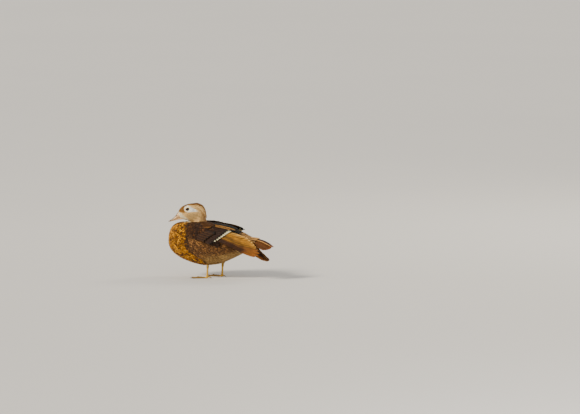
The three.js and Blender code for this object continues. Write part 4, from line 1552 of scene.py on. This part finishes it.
def foot_parts(side):
    """Toes, webs, hind toe and heel of one foot round its own heel, and the claws."""
    flesh, claws, lines = [], [], []
    for length, turn in TOES.values():
        angle = -side * math.radians(turn + TOE_OUT)
        way = np.array([-math.cos(angle), -math.sin(angle), 0])
        toe, claw = toe_parts(length, way)
        flesh.append(toe)
        claws.append(claw)
        lines.append(length * way)
    flesh += [web_between(one, other) for one, other in zip(lines, lines[1:])]
    hind = [(0.5, -side, 6), (7, -2.5 * side, 3.4), (11.6, -3.5 * side, 1.5)]
    flesh.append(limb(hind, [1.9, 1.5, 0.9]))
    claws.append(limb([(10.8, -3.3 * side, 1.7), (13, -4 * side, 0.8)], [0.8, 0.3], 10))
    angle = np.linspace(0.1, math.pi - 0.1, 12)[:, None]
    turn = full_turn(20)[None]
    x, y = 4 * np.sin(angle) * np.cos(turn), 3.6 * np.sin(angle) * np.sin(turn)
    flesh.append(loft(np.stack(alike(x, y, 3.9 + 4 * np.cos(angle)), -1)))
    return flesh, claws


def make_leg(name, heel, flesh):
    """A scaled shank with its webbed foot, standing on the floor."""
    c = palette()
    x, y = LEG_X[name], heel[1]
    line = [
        (x + 1, y, ANKLE_Z + 3),
        (x + 1, y, ANKLE_Z - 3),
        (x + 0.5, y, ANKLE_Z - 9),
        (x, y, 14),
        (x - 0.5, y, 6),
    ]
    share = np.linspace(0, 1, 30)
    radii = np.interp(share * 4, range(5), (3.2, 3.7, 2.7, 2.7, 3.1))
    parts = [limb(smooth_line(line, line[0])(share), radii, 24)] + [(p + heel, f) for p, f in flesh]
    leg = remeshed("Leg_" + name, parts, *LEG_MESH, material_for("leg"), "legs")
    points = points_of(leg)
    points[:, 2] = np.maximum(points[:, 2], 0.05)
    leg.data.vertices.foreach_set("co", metres(points).ravel())
    low = fade(points[:, 2], 8, 1.5)
    reach = np.hypot(points[:, 0] - heel[0], points[:, 1] - heel[1])
    # Darker round the ankle: partly the joint's own dark skin, partly painted shade under the belly.
    dark_joint_and_shade = fade(np.abs(points[:, 2] - ANKLE_Z + 2), 6, 1)
    colour = layered(c.leg, (c.web, low * fade(reach, 4, 12)), (0.75, 0.7 * dark_joint_and_shade))
    finish_mesh(leg.data, None, linear(colour))
    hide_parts("shank_" + name, "foot_" + name)


def make_legs():
    """Both legs, and the dark claws of each."""
    for name, side in SIDES.items():
        heel = np.array([LEG_X[name] - 1, side * STANCE, 0.0])
        flesh, claws = foot_parts(side)
        make_leg(name, heel, flesh)
        points, faces = joined([(p + heel, f) for p, f in claws])
        points[:, 2] = np.maximum(points[:, 2], 0.1)
        tint = linear(np.broadcast_to(palette().claw, points.shape))
        make_object("Claws_" + name, points, faces, material_for("bill"), "legs", tint=tint)


# Stage


def light(kind, name, place, energy, colour, **settings):
    """A lamp that looks from its place at the middle of the bird; a sun only shines from that side."""
    target = (0, 0, 0) if kind == "SUN" else metres([(0, 0, 100)])[0]
    data = bpy.data.lights.new(name, kind)
    data.energy = energy
    data.color = colour
    for key, value in settings.items():
        setattr(data, key, value)
    lamp = bpy.data.objects.new(name, data)
    lamp.location = place
    lamp.rotation_euler = (Vector(target) - Vector(place)).to_track_quat("-Z", "Y").to_euler()
    bpy.context.scene.collection.objects.link(lamp)
    return lamp


def make_floor():
    """A pale floor under the feet."""
    material, nodes, shader = new_material("Pale_floor")
    grey = nodes.group("Mottle", Colour=(0.62, 0.6, 0.57, 1), Scale=0.9, Depth=0.03)
    nodes.feed(shader, {"Base Color": grey["Colour"], "Roughness": 0.75})
    z = float(metres([(0, 0, 0)])[0][2])
    corners = [(-1, -1), (1, -1), (1, 1), (-1, 1)]
    mesh = bpy.data.meshes.new("Floor")
    mesh.from_pydata([(x * FLOOR_HALF, y * FLOOR_HALF, z) for x, y in corners], [], [(0, 1, 2, 3)])
    mesh.materials.append(material)
    floor = bpy.data.objects.new("Floor", mesh)
    bpy.context.scene.collection.objects.link(floor)
    return floor


def make_camera():
    """The camera of the photograph's view."""
    a, e = VIEW_TURN, VIEW_RISE
    right = np.array([math.cos(a), math.sin(a), 0])
    up = np.array([-math.sin(a) * math.sin(e), math.cos(a) * math.sin(e), math.cos(e)])
    back = np.cross(right, up)
    data = bpy.data.cameras.new("Camera")
    data.lens = LENS
    data.sensor_width = SENSOR
    data.clip_end = 200
    camera = bpy.data.objects.new("Camera", data)
    seen = right * VIEW_CENTRE[0] + up * VIEW_CENTRE[1]
    camera.location = Vector(metres([seen + back * VIEW_WIDTH * LENS / SENSOR])[0])
    camera.rotation_euler = Vector(-back).to_track_quat("-Z", "Y").to_euler()
    bpy.context.scene.collection.objects.link(camera)
    bpy.context.scene.camera = camera
    return camera


def make_stage():
    """A pale floor, soft studio light and the camera of the photograph's view."""
    floor = make_floor()
    warm = (1, 0.93, 0.8)
    key = light("SUN", "Key", (-1.0, -1.35, 1.15), 4.7, warm, angle=math.radians(16))
    fill = light("AREA", "Fill", (2.2, -2.2, 0.9), 16, (1, 0.97, 0.93), shape="DISK", size=1.8)
    rim = light("AREA", "Rim", (1.2, 2.0, 1.7), 26, warm, shape="DISK", size=1.0)
    world = bpy.data.worlds.new("Studio")
    bpy.context.scene.world = world
    world.use_nodes = True
    sky = world.node_tree.nodes["Background"].inputs
    sky["Color"].default_value = (1, 0.99, 0.97, 1)
    sky["Strength"].default_value = 0.62
    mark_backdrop(floor, key, fill, rim, make_camera())


# Add-on


def paint(name, description, red, green, blue):
    """A colour property, from screen values of 0 to 255."""
    default = (red / 255, green / 255, blue / 255)
    return FloatVectorProperty(
        name=name, description=description, default=default, size=3, min=0, max=1, subtype="COLOR_GAMMA"
    )


def span(name, description, default):
    """A length property, in metres."""
    return FloatProperty(
        name=name, description=description, default=default, min=0, unit="LENGTH", subtype="DISTANCE"
    )


class DuckColours(bpy.types.PropertyGroup):
    """Colours of the plumage and the bare parts."""

    cheek: paint("Cheek", "Side of the head", 248, 204, 134)
    nape: paint("Nape", "Back of the neck", 216, 168, 112)
    crown: paint("Crown", "Top of the head", 128, 84, 36)
    forehead: paint("Forehead", "Above the bill", 148, 102, 46)
    throat: paint("Throat", "Chin and throat", 252, 238, 200)
    brow_stripe: paint("Eye stripe", "Warm end of the eye patch", 248, 212, 156)
    eye_patch: paint("Eye patch", "The white teardrop round the eye", 244, 243, 234)
    breast: paint("Breast", "Ochre of the breast feathers", 204, 132, 28)
    breast_light: paint("Breast, light", "Pale drops of the breast feathers", 240, 168, 44)
    breast_dark: paint("Breast, dark", "Edges of the breast feathers", 72, 40, 10)
    # Painted shadow along the front edge of the flank, behind the breast.
    shadow_line: paint("Border", "Dark line behind the breast", 46, 28, 11)
    mantle: paint("Mantle", "Upper back", 66, 38, 12)
    mantle_light: paint("Mantle, light", "Warm edges of dark feathers", 92, 60, 28)
    back: paint("Back", "Lower back", 26, 17, 11)
    rump: paint("Rump", "Above the tail", 196, 146, 84)
    flank: paint("Flank", "Side of the body", 100, 67, 35)
    flank_light: paint("Flank, light", "Buff streaks of the flank", 186, 134, 76)
    belly: paint("Belly", "Underside", 178, 142, 86)
    belly_dark: paint("Belly, dark", "Mottles of the underside", 122, 92, 50)
    vent: paint("Vent", "Below the tail", 190, 160, 116)
    wing_dark: paint("Wing, dark", "Coverts and hidden vanes", 44, 23, 9)
    covert_light: paint("Covert, light", "Warm shafts of some coverts", 128, 84, 40)
    speculum: paint("Speculum", "Glossy patch of the secondaries", 44, 28, 26)
    wing_white: paint("Wing, white", "Tips of the secondaries", 232, 224, 184)
    # Painted sunlight: the gold that light gives the pale webs of the inner primaries.
    primary_sunlit_gold: paint("Primary, gold", "Lit inner primaries", 196, 134, 44)
    primary_pale: paint("Primary, pale", "Pale webs of the inner primaries", 228, 172, 88)
    primary_brown: paint("Primary, brown", "Outer primaries", 84, 52, 30)
    # Painted sunlight on the ends of the outer primaries.
    wing_tip: paint("Wing tip", "Warm ends of the outer primaries", 160, 98, 40)
    # Painted highlights on the edges of the right wing's tip.
    highlight_spot: paint("Pale spot", "Spots of the far wing tip", 190, 146, 91)
    # Painted sheen: the gold streak of the glossy tertials and the lowest scapular's edge.
    tertial_sheen: paint("Tertial, gold", "Warm streak of the tertials", 192, 134, 66)
    # Painted highlight along the middle of that sheen.
    tertial_highlight: paint("Tertial, pale", "Lit middle of that streak", 242, 194, 122)
    tertial_black: paint("Tertial, black", "Dark webs of the tertials", 12, 9, 6)
    tail_dark: paint("Tail, dark", "Rufous of the tail", 62, 28, 10)
    tail_pale: paint("Tail, pale", "Peach upper edges of the tail", 240, 178, 100)
    tail_tip: paint("Tail tip", "Orange ends of the tail feathers", 168, 88, 32)
    bill: paint("Bill", "Horn of the bill", 208, 164, 112)
    bill_ridge: paint("Bill ridge", "Dusky top of the bill", 104, 88, 72)
    bill_edge: paint("Bill edge", "Pale line over the mouth", 232, 220, 180)
    bill_tip: paint("Bill tip", "Nail of the bill", 112, 76, 44)
    iris: paint("Iris", "Eye round the pupil", 64, 32, 14)
    pupil: paint("Pupil", "Centre of the eye", 4, 3, 3)
    eye_ring: paint("Eye ring", "Bare skin round the eye", 236, 208, 122)
    leg: paint("Leg", "Skin of the shanks", 206, 158, 24)
    web: paint("Web", "Skin between the toes", 128, 96, 34)
    claw: paint("Claw", "Claws", 48, 36, 24)


class DuckSizes(bpy.types.PropertyGroup):
    """Sizes that the plumage follows."""

    coat_depth: span("Coat depth", "How far the skin lies inside the solids", 0.002)
    body_feather: span("Body feather", "Length of a body feather", 0.0125)
    head_feather: span("Head feather", "Length of a head feather", 0.0062)
    seed: IntProperty(name="Seed", description="Where the feathers fall", default=7)


class MakeSkin(bpy.types.Operator):
    """Makes the skin under the feathers"""

    bl_idname = "duck.skin"
    bl_label = "Skin"

    def execute(self, context):
        make_skin()
        return {"FINISHED"}


class MakeBodyFeathers(bpy.types.Operator):
    """Lays the body's feathers on the skin"""

    bl_idname = "duck.body_feathers"
    bl_label = "Body feathers"

    def execute(self, context):
        make_body_feathers()
        return {"FINISHED"}


class MakeHeadFeathers(bpy.types.Operator):
    """Lays the head's feathers and the crest"""

    bl_idname = "duck.head_feathers"
    bl_label = "Head feathers"

    def execute(self, context):
        make_head_feathers()
        return {"FINISHED"}


class MakeLeftWing(bpy.types.Operator):
    """Folds the left wing's feathers"""

    bl_idname = "duck.left_wing"
    bl_label = "Left wing"

    def execute(self, context):
        make_wing("left")
        return {"FINISHED"}


class MakeRightWing(bpy.types.Operator):
    """Folds the right wing's feathers"""

    bl_idname = "duck.right_wing"
    bl_label = "Right wing"

    def execute(self, context):
        make_wing("right")
        return {"FINISHED"}


class MakeTail(bpy.types.Operator):
    """Makes the tail feathers"""

    bl_idname = "duck.tail"
    bl_label = "Tail"

    def execute(self, context):
        make_tail()
        return {"FINISHED"}


class MakeEyes(bpy.types.Operator):
    """Makes both eyes and their rings"""

    bl_idname = "duck.eyes"
    bl_label = "Eyes"

    def execute(self, context):
        make_eyes()
        return {"FINISHED"}


class MakeBill(bpy.types.Operator):
    """Makes the bill"""

    bl_idname = "duck.bill"
    bl_label = "Bill"

    def execute(self, context):
        make_bill()
        return {"FINISHED"}


class MakeLegs(bpy.types.Operator):
    """Makes the legs, feet and claws"""

    bl_idname = "duck.legs"
    bl_label = "Legs"

    def execute(self, context):
        make_legs()
        return {"FINISHED"}


class MakeStage(bpy.types.Operator):
    """Sets the floor, lights and camera"""

    bl_idname = "duck.stage"
    bl_label = "Stage"

    def execute(self, context):
        make_stage()
        return {"FINISHED"}


STEPS = (
    MakeSkin,
    MakeBodyFeathers,
    MakeHeadFeathers,
    MakeLeftWing,
    MakeRightWing,
    MakeTail,
    MakeEyes,
    MakeBill,
    MakeLegs,
    MakeStage,
)


class DUCK_PT_panel(bpy.types.Panel):
    """Sizes, colours and steps of the duck, in the sidebar of the 3D view."""

    bl_label = "Hen wood duck"
    bl_space_type = "VIEW_3D"
    bl_region_type = "UI"
    bl_category = "Duck"

    def draw(self, context):
        for group in (context.scene.duck_sizes, context.scene.duck_colours):
            box = self.layout.box()
            for name in group.__annotations__:
                box.prop(group, name)
        for step in STEPS:
            self.layout.operator(step.bl_idname)


CLASSES = (DuckColours, DuckSizes, *STEPS, DUCK_PT_panel)


def register():
    for item in CLASSES:
        bpy.utils.register_class(item)
    bpy.types.Scene.duck_colours = PointerProperty(type=DuckColours)
    bpy.types.Scene.duck_sizes = PointerProperty(type=DuckSizes)


def unregister():
    del bpy.types.Scene.duck_sizes
    del bpy.types.Scene.duck_colours
    for item in reversed(CLASSES):
        bpy.utils.unregister_class(item)


def main():
    register()
    for step in STEPS:
        group, name = step.bl_idname.split(".")
        done = getattr(getattr(bpy.ops, group), name)()
        if done != {"FINISHED"}:
            raise RuntimeError("a step did not finish: " + step.bl_idname)
    boxes = {"cad": CAD_BOX, "visual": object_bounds()}
    {name: [list(corner) for corner in box] for name, box in boxes.items()}


if __name__ == "__main__":
    main()
